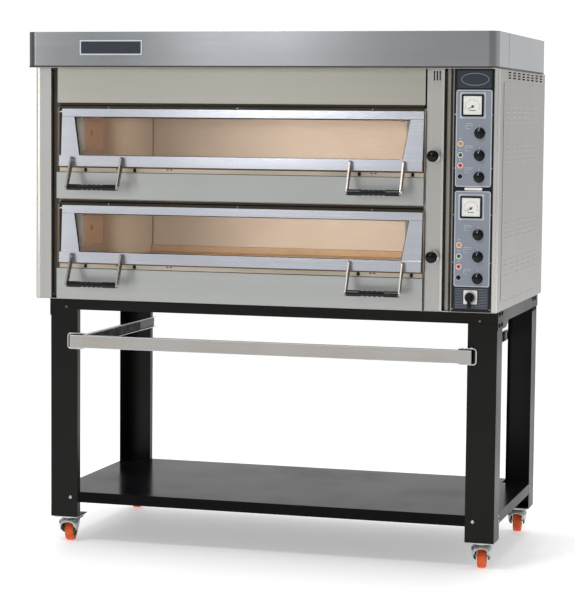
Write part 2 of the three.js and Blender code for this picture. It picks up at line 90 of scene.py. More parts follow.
KNOB_X, LAMP_X, GAUGE_X, SWITCH = 755, 692, 731, (733, 945)
KNOBS = {"top_heat": 131, "floor_heat": 58, "chamber": -14}    # rises above each deck's floor
LAMPS = {"amber": 95.7, "green": 58.5, "red": 24.2}
GAUGE_RISE, RESET_RISE = 222, -12
CASTORS = {"front_left": 9, "front_right": 8, "rear_left": 5, "rear_right": 6}   # yaw in degrees


# ---- node trees -----------------------------------------------------------------------------
def colour(code):
    """The linear colour of an sRGB hex code."""
    parts = [int(code[i:i + 2], 16) / 255 for i in (1, 3, 5)]
    return [c / 12.92 if c <= 0.04045 else ((c + 0.055) / 1.055) ** 2.4 for c in parts] + [1]


class Shader:
    """A procedural material with its textures laid in the object's own coordinates."""

    def __init__(self, name, **sockets):
        self.material = bpy.data.materials.new(name)
        self.material.use_nodes = True
        self.tree = self.material.node_tree
        self.surface = self.tree.nodes["Principled BSDF"]
        self.place = self.node("ShaderNodeTexCoord").outputs["Object"]
        for socket, value in sockets.items():
            self.feed(self.surface, socket.replace("_", " "), value)

    def node(self, kind, inputs=None, **settings):
        made = self.tree.nodes.new(kind)
        for key, value in settings.items():
            setattr(made, key, value)
        for key, value in (inputs or {}).items():
            self.feed(made, key, value)
        return made

    def feed(self, target, socket, value):
        if isinstance(value, bpy.types.NodeSocket):
            self.tree.links.new(value, target.inputs[socket])
        else:
            target.inputs[socket].default_value = value

    def stretched(self, kind, stretch, **inputs):
        scale = [stretch] * 3 if isinstance(stretch, (int, float)) else stretch
        mapped = self.node("ShaderNodeMapping", {"Vector": self.place, "Scale": scale})
        return self.node(kind, {"Vector": mapped.outputs["Vector"], "Scale": 1.0, **inputs})

    def noise(self, stretch, detail=3.0, roughness=0.55):
        """Noise from 0 to 1, with stretch cycles per metre on all axes or on x, y and z."""
        return self.stretched("ShaderNodeTexNoise", stretch, Detail=detail,
                              Roughness=roughness).outputs["Fac"]

    def cells(self, per_metre):
        return self.stretched("ShaderNodeTexVoronoi", per_metre).outputs["Distance"]

    def ranged(self, value, low, high, start=0.3, end=0.7):
        return self.node("ShaderNodeMapRange", {
            "Value": value, "From Min": start, "From Max": end, "To Min": low, "To Max": high},
            ).outputs["Result"]

    def blend(self, value, first, second, low=0, high=1, start=0.3, end=0.7):
        """A mix of two colours whose share goes from low to high as value passes start to end."""
        first, second = (colour(c) if isinstance(c, str) else c for c in (first, second))
        share = self.ranged(value, low, high, start, end)
        return self.node("ShaderNodeMix", {6: first, 7: second, 0: share}, data_type="RGBA").outputs[2]

    def varied(self, value, code, darker, lighter):
        return self.blend(value, shaded(code, darker), shaded(code, lighter))

    def finish(self, tone, roughness, height=None, strength=0.0, distance=0.0004):
        """Connects the colour, roughness and bump, and gives the material."""
        self.feed(self.surface, "Base Color", tone)
        self.feed(self.surface, "Roughness", roughness)
        if strength:
            bump = {"Height": height, "Strength": strength, "Distance": distance}
            self.feed(self.surface, "Normal", self.node("ShaderNodeBump", bump).outputs["Normal"])
        return self.material


def shaded(code, factor):
    """A colour made lighter or darker by a factor."""
    return [min(1, c * factor) for c in colour(code)[:3]] + [1]


# ---- metals ---------------------------------------------------------------------------------
GRAIN = {"x": (3, 1400, 1400), "z": (1400, 1400, 3)}


def brushed(name, code, grain="x", roughness=0.3, contrast=0.06, stain_and_shade=None, grit=0.02):
    """Brushed steel whose marks run along one axis, with faint bands and handling marks."""
    shader = Shader(name, Metallic=1.0)
    fine = shader.noise(GRAIN[grain])
    bands = shader.noise([s * (0.03 if s > 10 else 0.2) for s in GRAIN[grain]], 2)
    clouds = shader.noise(3, 2)
    tone = shader.varied(bands, code, 1 - contrast, 1 + contrast)
    tone = shader.blend(fine, tone, shaded(code, 0.82), 0, 0.2)
    # A darker colour in clouds: a stain on the strip, column and bar, and part of the painted shade on
    # the darkened steels.
    if stain_and_shade:
        tone = shader.blend(clouds, tone, stain_and_shade, 0, 0.5, 0.42, 0.75)
    base = shader.ranged(fine, roughness - 0.04, roughness + 0.04)
    marks = shader.ranged(clouds, -0.02, 0.03, 0.35, 0.75)
    uneven = shader.node("ShaderNodeMath", {0: base, 1: marks}, operation="ADD").outputs[0]
    return shader.finish(tone, uneven, fine, grit, 0.0003)


def zinc_plate():
    """Bright zinc with a cloudy blue-white passivation."""
    shader = Shader("zinc_plate", Metallic=1.0)
    tone = shader.blend(shader.noise(30, 4), "#aeb6c2", "#d3d2c8")
    spangle = shader.ranged(shader.cells(160), 0.22, 0.42, 0.1, 0.7)
    return shader.finish(tone, spangle, shader.noise(700), 0.1, 0.0002)


def chrome():
    """Polished metal with hairline scratches."""
    shader = Shader("chrome", Metallic=1.0)
    scratches = shader.noise((60, 1400, 400), 5, 0.7)
    tone = shader.blend(scratches, "#dcdcda", "#b9bbbd", 0, 1, 0.4, 0.75)
    return shader.finish(tone, shader.ranged(scratches, 0.08, 0.2, 0.4, 0.8))


# ---- paints, plastics and rubber ------------------------------------------------------------
def painted(name, code, roughness=0.38, peel=0.12, wear="#3a3833", gloss=0.25):
    """Powder coat: orange peel, uneven gloss and a little rubbed-on dust."""
    shader = Shader(name, Specular_IOR_Level=gloss)
    clouds = shader.noise(4, 5)
    dust = shader.noise((22, 22, 9), 6, 0.7)
    tone = shader.blend(dust, shader.varied(clouds, code, 0.86, 1.16), wear, 0, 0.06, 0.5, 0.85)
    uneven = shader.ranged(clouds, roughness - 0.05, roughness + 0.08)
    return shader.finish(tone, uneven, shader.noise(420, 2), peel, 0.0005)


def moulded(name, code, roughness=0.3, grain=900, depth=0.1, spread=0.1, shine=0.25):
    """Moulded plastic with a fine grain and slightly uneven gloss."""
    shader = Shader(name, Specular_IOR_Level=shine)
    clouds = shader.noise(35, 4)
    uneven = shader.ranged(clouds, roughness * 0.8, roughness * 1.3)
    return shader.finish(shader.varied(clouds, code, 1 - spread, 1 + spread), uneven,
                         shader.noise(grain, 2), depth, 0.0002)


def printed(name, code, roughness=0.42):
    """Printed film: an even ink with a fine speckle under a satin lacquer."""
    shader = Shader(name)
    speckle = shader.noise(1500, 2)
    clouds = shader.noise(12)
    ink = shader.varied(speckle, code, 0.93, 1.06)
    uneven = shader.ranged(clouds, roughness - 0.06, roughness + 0.06)
    return shader.finish(shader.blend(clouds, ink, shaded(code, 1.15), 0, 0.2), uneven,
                         speckle, 0.04, 0.0001)


def tyre_rubber():
    """Cast polyurethane, a little scuffed on the tread."""
    shader = Shader("tyre_rubber")
    scuffs = shader.noise((120, 260, 260), 6, 0.7)
    tone = shader.blend(shader.noise(40), "#d4480a", "#ea6414")
    tone = shader.blend(scuffs, tone, "#6e3a26", 0, 0.35, 0.55, 0.8)
    return shader.finish(tone, shader.ranged(scuffs, 0.38, 0.6), scuffs, 0.2, 0.0005)


def lens(name, code, glow):
    """A coloured lamp lens with pressed facets, faintly lit from inside."""
    shader = Shader(name, Coat_Weight=0.1, Coat_Roughness=0.05, Emission_Strength=glow)
    facets = shader.cells(900)
    tone = shader.blend(facets, shaded(code, 1.25), shaded(code, 0.7), 0, 1, 0.1, 0.8)
    shader.feed(shader.surface, "Emission Color", tone)
    return shader.finish(tone, shader.ranged(facets, 0.12, 0.3), facets, 0.35)


# ---- stone, lining and glass ----------------------------------------------------------------
def fired_stone():
    """Baking stone: pale fired clay with darker grit and scorched patches."""
    shader = Shader("fired_stone")
    body = shader.noise(160, 6, 0.7)
    tone = shader.blend(body, "#b29472", "#cfb290")
    tone = shader.blend(shader.cells(420), tone, "#8a6a48", 0.4, 0, 0.02, 0.25)
    tone = shader.blend(shader.noise(7, 5), tone, "#8d6f4d", 0, 0.35, 0.5, 0.75)
    return shader.finish(tone, shader.ranged(body, 0.75, 0.95), body, 0.35, 0.001)


def chamber_lining():
    """Heat-tinted lining: straw and tan clouds over a dull sheet."""
    shader = Shader("chamber_lining", Metallic=0.15)
    fine = shader.noise((14, 260, 260), 4)
    tone = shader.blend(shader.noise((3, 3, 4), 4), "#cac0b3", "#d9d0c5")
    tone = shader.blend(fine, tone, "#b39f8a", 0, 0.22)
    return shader.finish(tone, shader.ranged(fine, 0.5, 0.66), fine, 0.1, 0.0005)


def oxidised_sheath():
    """A heating element's sheath, dark with a brown oxide."""
    shader = Shader("oxidised_sheath", Metallic=0.9)
    patches = shader.noise(45, 5)
    return shader.finish(shader.blend(patches, "#4c4641", "#7a604c"),
                         shader.ranged(patches, 0.4, 0.6), patches, 0.15, 0.0003)


def clear_glass(name, code, cover):
    """A clear pane: cover is how much of what is behind it the tint hides."""
    shader = Shader(name, Alpha=cover, IOR=1.5)
    smears = shader.noise(9, 5)
    return shader.finish(shader.varied(smears, code, 0.9, 1.1), shader.ranged(smears, 0.02, 0.09))


# every look, under the slot that it usually has
SLOTS = {
    "casing_steel": {
        "sheet": brushed("brushed_sheet", "#b5b2a9", "x", 0.34, 0.03),
        "deck": brushed("brushed_deck_sheet", "#b6b8b6", "x", 0.34, 0.03),
        "upright": brushed("brushed_upright", "#bab9b5", "z", 0.34, 0.03),
        "side": brushed("brushed_side", "#b3b0ad", "z", 0.38, 0.03),
        "strip": brushed("folded_strip", "#c8c0af", "x", 0.4, stain_and_shade="#8d7f6b"),
        # a dark brown steel that is painted shade: beside the doors, at the cheeks' edges and along the
        # closing strips
        "warm_shade": brushed("painted_shade_steel", "#6e5446", "z", 0.42, stain_and_shade="#4b352d"),
        # a dark steel for sheets put in gaps: painted shade
        "gap": brushed("gap_shade_steel", "#55504a", "z", 0.5, stain_and_shade="#443a32"),
        # a darkened steel: painted shade in the slots above the doors and a painted shadow under the
        # canopy's lip
        "recess": brushed("recess_shade_steel", "#4c463e", "x", 0.45, stain_and_shade="#3a322a")},
    "bright_steel": {
        "bright": brushed("bright_sheet", "#d2d5dd", "x", 0.24, 0.03),
        "canopy": brushed("canopy_sheet", "#a6a9ac", "x", 0.19, 0.03),
        # a lightened steel whose extra brightness is a painted highlight on the rounded bends
        "trim": brushed("highlight_trim_steel", "#dedcd6", "z", 0.2, 0.02, grit=0),
        "column": brushed("column_steel", "#a09c95", "z", 0.3, 0.04, stain_and_shade="#6d655b"),
        "bar": brushed("bar_sheet", "#b3b0ac", "x", 0.26, 0.03, stain_and_shade="#a89a8c"),
        # a darkened steel: dark seams and joints, and painted shade on the frame's front bolts
        "seam_and_shade": brushed("shaded_steel", "#6f6d68", "x", 0.45, stain_and_shade="#574f45"),
        "arm": brushed("arm_steel", "#99938b", "z", 0.4, 0.08),
        # a slightly darker copy of the arm steel: painted shade on the arms' sides
        "arm_face": brushed("arm_face_shade_steel", "#928c84", "z", 0.36, 0.1)},
    "zinc": {"zinc": zinc_plate()},
    "chrome_trim": {"chrome": chrome()},
    "black_paint": {"black": painted("black_powder_coat", "#0b0a07", 0.32, 0.06, "#1c1a16", 0.2)},
    "shelf_paint": {"shelf": painted("shelf_powder_coat", "#141417", 0.16, 0.03, "#1e1e20", 0.02)},
    "panel_black": {
        "panel": painted("panel_enamel", "#10141a", 0.33, 0.05, "#20262c"),
        "dark_film": printed("dark_film", "#26323d"),
        "plate": printed("blank_plate", "#1d262f")},
    "black_plastic": {
        "plastic": moulded("black_plastic", "#060606", 0.2),
        "glossy": moulded("gloss_black_plastic", "#020202", 0.07, depth=0.01, shine=0.22),
        "grip": moulded("grip_sleeve", "#040404", 0.12, 600, 0.02, shine=0.3),
        # matt black for the runner sleeves, and painted shade in the handle arms' holes
        "matt": moulded("matt_black_and_hole_shade", "#060606", 0.62),
        "needle": moulded("needle_enamel", "#16161a", 0.3)},
    "white_plastic": {
        "white": moulded("white_plastic", "#e9e8e3", 0.3, spread=0.03),
        "grey": moulded("grey_plastic", "#b9bcc2", 0.35, spread=0.05),
        "ink": printed("white_ink", "#c9ced6")},
    "fascia_blue": {"film": printed("fascia_film", "#858b96")},
    "dial_white": {"dial": printed("dial_card", "#f2f0ea", 0.5)},
    "orange_tyre": {"rubber": tyre_rubber()},
    "baking_stone": {"stone": fired_stone()},
    "chamber_liner": {"lining": chamber_lining()},
    "heating_element": {"element": oxidised_sheath()},
    "door_glass": {"glass": clear_glass("door_glass", "#6d6258", 0.12),
                   "dial_glass": clear_glass("dial_glass", "#c8ccd0", 0.06)},
    "lamp_amber": {"amber": lens("amber_lens", "#c8760a", 0.2),
                   "lamp": lens("oven_lamp", "#c89a76", 0.1)},
    "lamp_green": {"green": lens("green_lens", "#045c3a", 0.05)},
    "lamp_red": {"red": lens("red_lens", "#c40012", 0.25)},
}
LOOKS = {look: (made, slot) for slot, looks in SLOTS.items() for look, made in looks.items()}


# ---- mesh building --------------------------------------------------------------------------
def add_block(bm, first, second):
    """An axis-aligned block between two opposite corners."""
    first, second = Vector(first), Vector(second)
    size = Matrix.Diagonal([abs(length) for length in second - first] + [1])
    bmesh.ops.create_cube(bm, size=1, matrix=Matrix.Translation((first + second) / 2) @ size)


def add_turned(bm, profile, centre, axis, segments=28, flutes=0, depth=0.0):
    """A profile of (radius, height) points turned about an axis, with optional flutes."""
    centre, axis = Vector(centre), Vector(axis).normalized()
    side = Vector((-axis.y, axis.x, 0)) if abs(axis.z) < 0.9 else X
    side = (side - axis * side.dot(axis)).normalized()
    up = axis.cross(side)
    rings = []
    for radius, height in profile:
        base = centre + axis * height
        if radius < 1e-6:
            rings.append([bm.verts.new(base)])
            continue
        ring = []
        for step in range(segments):
            angle = 2 * math.pi * step / segments
            swell = radius * (1 + depth * math.cos(flutes * angle)) if flutes else radius
            ring.append(bm.verts.new(base + (side * math.cos(angle) + up * math.sin(angle)) * swell))
        rings.append(ring)
    for first, second in zip(rings, rings[1:]):
        join_rings(bm, first, second)


def join_rings(bm, first, second):
    """Faces between two rings; a ring of one vertex is a tip."""
    count = max(len(first), len(second))
    if count == 1:
        return
    for step in range(count):
        after = (step + 1) % count
        corners = [first[step % len(first)], first[after % len(first)],
                   second[after % len(second)], second[step % len(second)]]
        bm.faces.new(list(dict.fromkeys(corners)))


def add_plate(bm, outlines, near, far, turn=None):
    """Outlines of (x, z) points, the inner ones holes, filled and raised from y near to far."""
    edges = []
    for points in outlines:
        verts = [bm.verts.new((x, near, z)) for x, z in points]
        edges += [bm.edges.new(pair) for pair in zip(verts, verts[1:] + verts[:1])]
    filled = bmesh.ops.triangle_fill(bm, edges=edges, use_beauty=True)["geom"]
    faces = [item for item in filled if isinstance(item, bmesh.types.BMFace)]
    raised = bmesh.ops.extrude_face_region(bm, geom=faces)["geom"]
    moved = [item for item in raised if isinstance(item, bmesh.types.BMVert)]
    bmesh.ops.translate(bm, vec=(0, far - near, 0), verts=moved)
    if turn:
        verts = {v for face in faces for v in face.verts} | set(moved)
        bmesh.ops.transform(bm, matrix=turn, verts=list(verts))


def add_tube(bm, path, radius, segments=12):
    """A round tube with closed ends along a list of points."""
    path = [Vector(point) for point in path]
    rings = []
    side = None
    for index, point in enumerate(path):
        ahead = path[min(index + 1, len(path) - 1)] - path[max(index - 1, 0)]
        ahead.normalize()
        if side is None:
            side = ahead.orthogonal().normalized()
        side = (side - ahead * side.dot(ahead)).normalized()
        up = ahead.cross(side)
        rings.append([bm.verts.new(point + (side * math.cos(a) + up * math.sin(a)) * radius)
                      for a in (2 * math.pi * s / segments for s in range(segments))])
    for first, second in zip(rings, rings[1:]):
        join_rings(bm, first, second)
    bm.faces.new(rings[0])
    bm.faces.new(rings[-1])


def sideways(x=0, sign=1, y=0):
    """Turns an upright plate to face sideways, standing at x and raised towards one side."""
    return Matrix(((0, sign, 0, x), (1, 0, 0, y), (0, 0, 1, 0), (0, 0, 0, 1)))


LYING = Matrix(((1, 0, 0, 0), (0, 0, 1, 0), (0, 1, 0, 0), (0, 0, 0, 1)))     # lays a plate flat
SIDEWAYS = sideways()


def round_rect(x, z, width, height, radius, steps=5):
    """The outline of a rounded rectangle about (x, z)."""
    points = []
    for quarter, (sx, sz) in enumerate(((1, 1), (-1, 1), (-1, -1), (1, -1))):
        for step in range(steps + 1):
            angle = math.pi / 2 * (quarter + step / steps)
            points.append((x + sx * (width / 2 - radius) + radius * math.cos(angle),
                           z + sz * (height / 2 - radius) + radius * math.sin(angle)))
    return points


def band(x, z, width, height, radius, inset, inner_radius):
    """The two outlines of a rectangular band; inset is how much smaller the inner one is."""
    return [round_rect(x, z, width, height, radius),
            round_rect(x, z, width - inset, height - inset, inner_radius)]


def oval(x, z, half_width, half_height=None, steps=24):
    """The outline of an oval about (x, z), or of a circle when it is given one radius."""
    tall = half_height or half_width
    angles = (2 * math.pi * step / steps for step in range(steps))
    return [(x + half_width * math.cos(a), z + tall * math.sin(a)) for a in angles]


def bend(edge, face, radius):
    """The arc of a bend that starts at x = edge and ends on y = face."""
    return [(edge - radius + radius * math.cos(a), face + radius - radius * math.sin(a))
            for a in (math.pi / 2 * step / 6 for step in range(7))]


def piece(name, bm, look, body="root", matrix=TO_ROW, edge=0.0, slot=None):
    """Turns a mesh in millimetres into a named piece that rides on a CAD body."""
    bm.transform(matrix)
    bmesh.ops.recalc_face_normals(bm, faces=bm.faces)
    mesh = bpy.data.meshes.new(name)
    bm.to_mesh(mesh)
    bm.free()
    mesh.shade_smooth()
    mesh.set_sharp_from_angle(angle=math.radians(35))
    material, usual_slot = LOOKS[look]
    mesh.materials.append(material)
    made = bpy.data.objects.new(name, mesh)
    bpy.context.scene.collection.objects.link(made)
    if edge:
        soften(made, edge)
    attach(made, body)
    return made


def blocks(name, look, corners, **more):
    """A piece made of blocks, each given by its two corners."""
    bm = bmesh.new()
    for low, high in corners:
        add_block(bm, low, high)
    return piece(name, bm, look, **more)


def plates(name, look, sheets, turn=None, **more):
    """A piece made of plates, each given by its outlines and the y of its two faces."""
    bm = bmesh.new()
    for outlines, near, far in sheets:
        add_plate(bm, outlines, near, far, turn)
    return piece(name, bm, look, **more)


def plate(name, look, outlines, near, far, turn=None, **more):
    """A piece made of one plate."""
    return plates(name, look, [(outlines, near, far)], turn, **more)


def turned(name, look, profile, centres, axis, segments=28, flutes=0, depth=0.0, **more):
    """A piece made of one turned shape, or of the same shape at several centres."""
    bm = bmesh.new()
    for centre in centres if isinstance(centres, list) else [centres]:
        add_turned(bm, profile, centre, axis, segments, flutes, depth)
    return piece(name, bm, look, **more)


def soften(made, edge):
    """Rounds the sharp edges by a bevel of that width in millimetres."""
    bevel = made.modifiers.new("edge", "BEVEL")
    bevel.width = edge * MM
    bevel.segments = 2
    bevel.limit_method = "ANGLE"
    bevel.angle_limit = math.radians(40)
    normals = made.modifiers.new("normals", "WEIGHTED_NORMAL")
    normals.keep_sharp = False


def dress(name, look, edge=0.6):
    """Gives a CAD node its finish and slightly rounded edges."""
    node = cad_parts[name]
    mesh = node.data
    material, slot = LOOKS[look]
    mesh.materials.clear()
    mesh.materials.append(material)
    if "custom_normal" in mesh.attributes:
        mesh.attributes.remove(mesh.attributes["custom_normal"])
    mesh.shade_smooth()
    weld = node.modifiers.new("weld", "WELD")
    weld.merge_threshold = 0.02 * MM
    soften(node, edge)


DOME = [(0, -0.4), (1, -0.4), (1, 0.12), (0.86, 0.34), (0.5, 0.5), (0, 0.56)]
DISH = [*DOME[:-1], (0.34, 0.52), (0.26, 0.2), (0, 0.2)]


def screws(name, places, axis, radius, look="chrome", head=DISH, **more):
    """One piece holding equal screws: pan heads with a dish for the driver, or plain domes."""
    profile = [(r * radius, h * radius) for r, h in head]
    return turned(name, look, profile, places, axis, 14, **more)


# ---- carried-over CAD nodes -----------------------------------------------------------------
def dress_frame():
    for look, edge, names in (
            ("sheet", 0.6, "top_front_panel roof_panel base_and_back_panel"),
            ("upright", 0.6, "left_side_panel damper_pillar"),
            ("side", 0.6, "right_side_panel"),
            ("canopy", 0.9, "canopy"),
            ("column", 0.6, "control_column"),
            ("panel", 0.4, "control_panel"),
            ("black", 0.8, "stand_top_frame"),
            ("shelf", 0.9, "shelf"),
            ("bar", 0.7, "pull_out_bar"),
            ("plastic", 0.8, "main_switch")):
        for name in names.split():
            dress(name, look, edge)
    for side, _ in SIDES:
        dress(f"{side}_slide_channel", "bright")
        for end in ("front", "rear"):
            dress(f"{end}_{side}_leg", "black", 0.8)
    for deck in DECKS:
        for part, look, edge in (
                ("deck_front_panel", "deck", 0.6), ("gauge", "plastic", 0.8),
                ("chamber", "lining", 0.6), ("baking_stone", "stone", 1.2),
                ("door_frame", "bright", 0.7), ("door_glass", "glass", 0.3),
                ("reset_button", "plastic", 0.8)):
            dress(f"{deck}_{part}", look, edge)


# ---- casing trim ----------------------------------------------------------------------------
CANOPY_PLATE = (-514, 1766, 226, 50)           # middle x and z, width and height
RECESS_SCREWS = {"upper": (-551, -83, 390), "lower": (-550, -81, 392)}


def casing_trim():
    face, low, high = CANOPY_LOW.y, CANOPY_LOW.z, CANOPY_HIGH.z
    border = band(*CANOPY_PLATE, 3, 8, 1.5)
    plate("canopy_blank_plate", "plate", border[:1], face - 0.2, face - 1.4, edge=0.4)
    plate("canopy_plate_border", "ink", border, face - 1.5, face - 1.9)
    # A dark strip along the canopy's lower lip: a painted shadow under its edge.
    plate("canopy_lip_shadow", "recess", [canopy_plan(0.35), canopy_plan(-0.1)], low + 0.2, low + 4.4,
          LYING, slot="bright_steel")
    seams = [((sign * (CANOPY_HIGH.x + 0.3), face + 200, low + 3),
              (sign * (CANOPY_HIGH.x - 0.7), face + 201.6, high - 1)) for _, sign in SIDES]
    blocks("canopy_side_seams", "seam_and_shade", seams, edge=0.2)
    for deck in DECKS:
        top = FLOOR[deck] + HINGE_RISE + DOOR_TOP
        places = [(x, 2.6, top + 6) for x in RECESS_SCREWS[deck]]
        screws(f"{deck}_recess_screws", places, -Y, 2.8)
        recess_strip(deck, top)
        pivot_strip(deck)
        door_stops(deck)


def canopy_plan(margin):
    """The canopy's outline from above, with its rounded front corners, grown by a margin."""
    half, front, back = CANOPY_HIGH.x + margin, CANOPY_LOW.y - margin, CANOPY_HIGH.y + margin
    radius = 34 + margin
    points = [(half, back), (-half, back)]
    for sign in (-1, 1):
        for step in range(9):
            angle = math.pi / 2 * (step / 8 if sign < 0 else 1 - step / 8)
            points.append((sign * (half - radius + radius * math.cos(angle)),
                           front + radius - radius * math.sin(angle)))
    return points


def recess_strip(deck, top):
    """The folded strip at the back of the slot above a door, darkened as painted shade."""
    fold = ((0, -4), (1.5, -4), (1.5, 9), (7, 13), (7, 20), (5.5, 20), (5.5, 14), (0, 10))
    plate(f"{deck}_recess_strip", "recess", [[(y, top + rise) for y, rise in fold]],
          BAY_LEFT + 6, BAY_RIGHT - 4, sideways(y=3), edge=0.4)


def pivot_strip(deck):
    """A strip beside the left edge of a door, with its screw, and strips at the cheeks' edges; their
    dark brown is painted shade.
    """
    z = FLOOR[deck]
    low, high = BAY_LEFT + 2, DOOR_X[0] - 9
    strip = [((low + 5, 8, z + 4), (high, 11, z + 203)), ((low + 5, 3, z + 4), (low + 7, 8.5, z + 203))]
    blocks(f"{deck}_pivot_strip", "warm_shade", strip, edge=0.4)
    spans = ((BAY_LEFT + 2.8, BAY_LEFT + 6.2), (BAY_RIGHT - 0.2, BAY_RIGHT + 2.2))
    cheeks = [((x0, -14.7, z + 3), (x1, -14.1, z + 204)) for x0, x1 in spans]
    blocks(f"{deck}_cheek_edges", "warm_shade", cheeks, edge=0.2)
    screws(f"{deck}_pivot_screw", [(low + 11, 7.8, z + 125)], -Y, 2.6)


def door_stops(deck):
    """The strip that a door closes on, with buffers, slots and painted shadow lines along it."""
    face = extent(f"{deck}_baking_stone")[0].y
    z = FLOOR[deck] - 10
    left, right = HANDLES["left"], HANDLES["right"]
    buffers = (left[0] + 38, left[1] + 34, right[0] + 22, right[1] + 22)
    blocks(f"{deck}_door_stops", "plastic",
           [((x - 5, face - 4, z - 6), (x + 5, face - 0.8, z + 6)) for x in buffers], edge=1)
    slots = [x + step for x in (left[0] + 150, left[1] + 150, right[0] + 60) for step in (0, 13)]
    blocks(f"{deck}_strip_slots", "plastic",
           [((x, face - 1.3, z + 2), (x + 8, face - 0.8, z + 5)) for x in slots])
    for name, look, edge, bars in (
            ("closing_strip", "strip", 0.3, ((0.9, 0.1, -8.6, 7.6), (2.2, 0.7, -1.2, 0.6))),
            ("strip_shadow_gaps", "warm_shade", 0.2, ((1.6, 0.2, -12, -7.6), (1.6, 0.2, 6.4, 11)))):
        blocks(f"{deck}_{name}", look,
               [((BAY_LEFT + 9, face - out, z + low), (BAY_RIGHT - 3, face - back, z + high))
                for out, back, low, high in bars], edge=edge)


LOUVRE_ROWS = (1552, 1420, 1160, 1035)         # middles of the pressed louvre groups
COVER = (482.5, 1292.5, 821, 727)              # a side's service cover: middle y and z, size
COVER_PROUD = 1.2


def side_details():
    """The service covers with their pressed louvres and screws, and the rounded front corners."""
    for side, sign in SIDES:
        plate(f"{side}_service_cover", "side", [round_rect(*COVER, 4)], 0.1, COVER_PROUD,
              sideways(sign * CASE_HALF, sign), edge=0.5)
        face = sign * (CASE_HALF + COVER_PROUD)
        bm = bmesh.new()
        for middle_z in LOUVRE_ROWS:
            for row in range(4):
                for column in range(6):
                    add_louvre(bm, face, sign, 156 + column * 112, middle_z + (row - 1.5) * 17)
        piece(f"{side}_louvres", bm, "side", edge=0.3)
        places = [(face, y, z) for y in (90, 875) for z in (1640, 1290, 945)]
        screws(f"{side}_cover_screws", places, X * sign, 3.4)
        corner_trim(side, sign)


def add_louvre(bm, face, sign, y, z):
    """A shallow pressed louvre about (y, z) on a side panel."""
    base = [bm.verts.new((face - sign * 0.4, *spot)) for spot in oval(y, z, 38, 5, 16)]
    crown = [bm.verts.new((face + sign * 1.6, *spot)) for spot in oval(y, z - 0.5, 33, 2.4, 16)]
    join_rings(bm, base, crown)
    bm.faces.new(crown)
    bm.faces.new(base)


def corner_trim(side, sign):
    """The rounded bend at a front corner of the casing; it catches real light, and its lightened steel
    adds a painted highlight.
    """
    outer = CASE_HALF + 0.5
    outline = [*bend(outer, -0.6, 8), (outer - 16, -0.6), (outer - 16, -0.1), (outer - 0.4, -0.1),
               (outer - 0.4, 8)]
    plate(f"{side}_corner_bend", "trim", [[(x * sign, y) for x, y in outline]],
          CASE_LOW + 0.5, CANOPY_LOW.z - 1, LYING)


def front_gaps():
    """Dark sheets of painted shade behind the gaps of the front and behind the rear louvres, and the
    pillar's bend, lightened as a painted highlight.
    """
    blocks("gap_shade_backing", "gap", [
        ((-762, 21, CASE_LOW + 4), (-735, 22, 1690)),
        ((622, 30, CASE_LOW + 4), (690, 31, 1690)),
        ((790, 19.5, CASE_LOW + 4), (814, 20.5, 1690)),
        ((400, CASE_BACK - 8, 1480), (800, CASE_BACK - 7, 1650))])
    # The pillar's bend, in the lightened trim steel: a painted highlight.
    low, high = extent("damper_pillar")
    outline = [*bend(high.x + 0.3, low.y - 0.3, 6), (high.x - 6.7, low.y - 0.3),
               (high.x - 6.7, low.y - 0.1), (high.x + 0.1, low.y - 0.1), (high.x + 0.1, low.y + 5.7)]
    plate("pillar_bend", "trim", [outline], low.z + 1, high.z - 1, LYING)


def back_details():
    """Screws, a service cover and a blank plate on the back, and the cable gland."""
    back = CASE_BACK
    plate("rear_service_cover", "side", [round_rect(620, 1090, 300, 330, 6)], back + 0.3, back + 2.3,
          edge=0.7)
    plate("rear_blank_plate", "white", [round_rect(-520, 1560, 150, 90, 4)], back + 0.3, back + 1.2,
          edge=0.3)
    cover = [(x, back + 2.4, z) for x in (484, 756) for z in (940, 1240)]
    edges = [(x, back + 0.3, z) for x in (-790, -400, 0, 400, 790) for z in (912, 1680)]
    screws("rear_cover_screws", cover, Y, 4)
    screws("rear_panel_screws", edges, Y, 4)
    x, z, start = middle("cable_gland").x, middle("cable_gland").z, extent("cable_gland")[0].y
    bm = bmesh.new()
    add_turned(bm, [(0, 0), (14, 0), (14, 9), (13, 10), (0, 10)], (x, start, z), Y, 6)
    nut = [(0, 0), (9.5, 0), (11, 2), (11, 5), (9, 8), (7.5, 11.4), (5, 11.4), (4.5, 6), (0, 6)]
    add_turned(bm, nut, (x, start + 10.2, z), Y, 24, 12, 0.02)
    gland = piece("cable_gland_body", bm, "plastic", edge=0.5)
    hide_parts("cable_gland")


# ---- chambers -------------------------------------------------------------------------------
def chambers():
    for deck in DECKS:
        floor = FLOOR[deck]
        wall = sideways(-650.3)
        elements(deck)
        plate(f"{deck}_lamp_frame", "lining", band(118, floor + 110, 196, 112, 6, 10, 4), 0, 3, wall,
              edge=0.6)
        plate(f"{deck}_lamp_glass", "lamp", [round_rect(118, floor + 110, 185.6, 101.6, 4)],
              0.2, 1.8, wall, edge=0.6)
        turned(f"{deck}_lamp_bulb", "amber", [(0, 0), (9, 0), (8, 3), (5, 5), (0, 6)],
               (-648, 92, floor + 118), X, 24)
        # Dark strips in the chamber's rear corners: painted shade where the walls meet.
        corners = [((x - 1, 731, floor + 24), (x + 1, 733, floor + 186)) for x in (-648.6, 502.6)]
        blocks(f"{deck}_rear_corner_shades", "element", corners, slot="chamber_liner")
        joints = [((x - 1, 20, floor + 0.1), (x + 1, 728, floor + 0.7)) for x in (-268, 118)]
        blocks(f"{deck}_stone_joints", "element", joints)
        blocks(f"{deck}_rear_upstand", "stone",
               [((-648.5, 715, floor + 0.1), (503.5, 732.8, floor + 24))], edge=2)


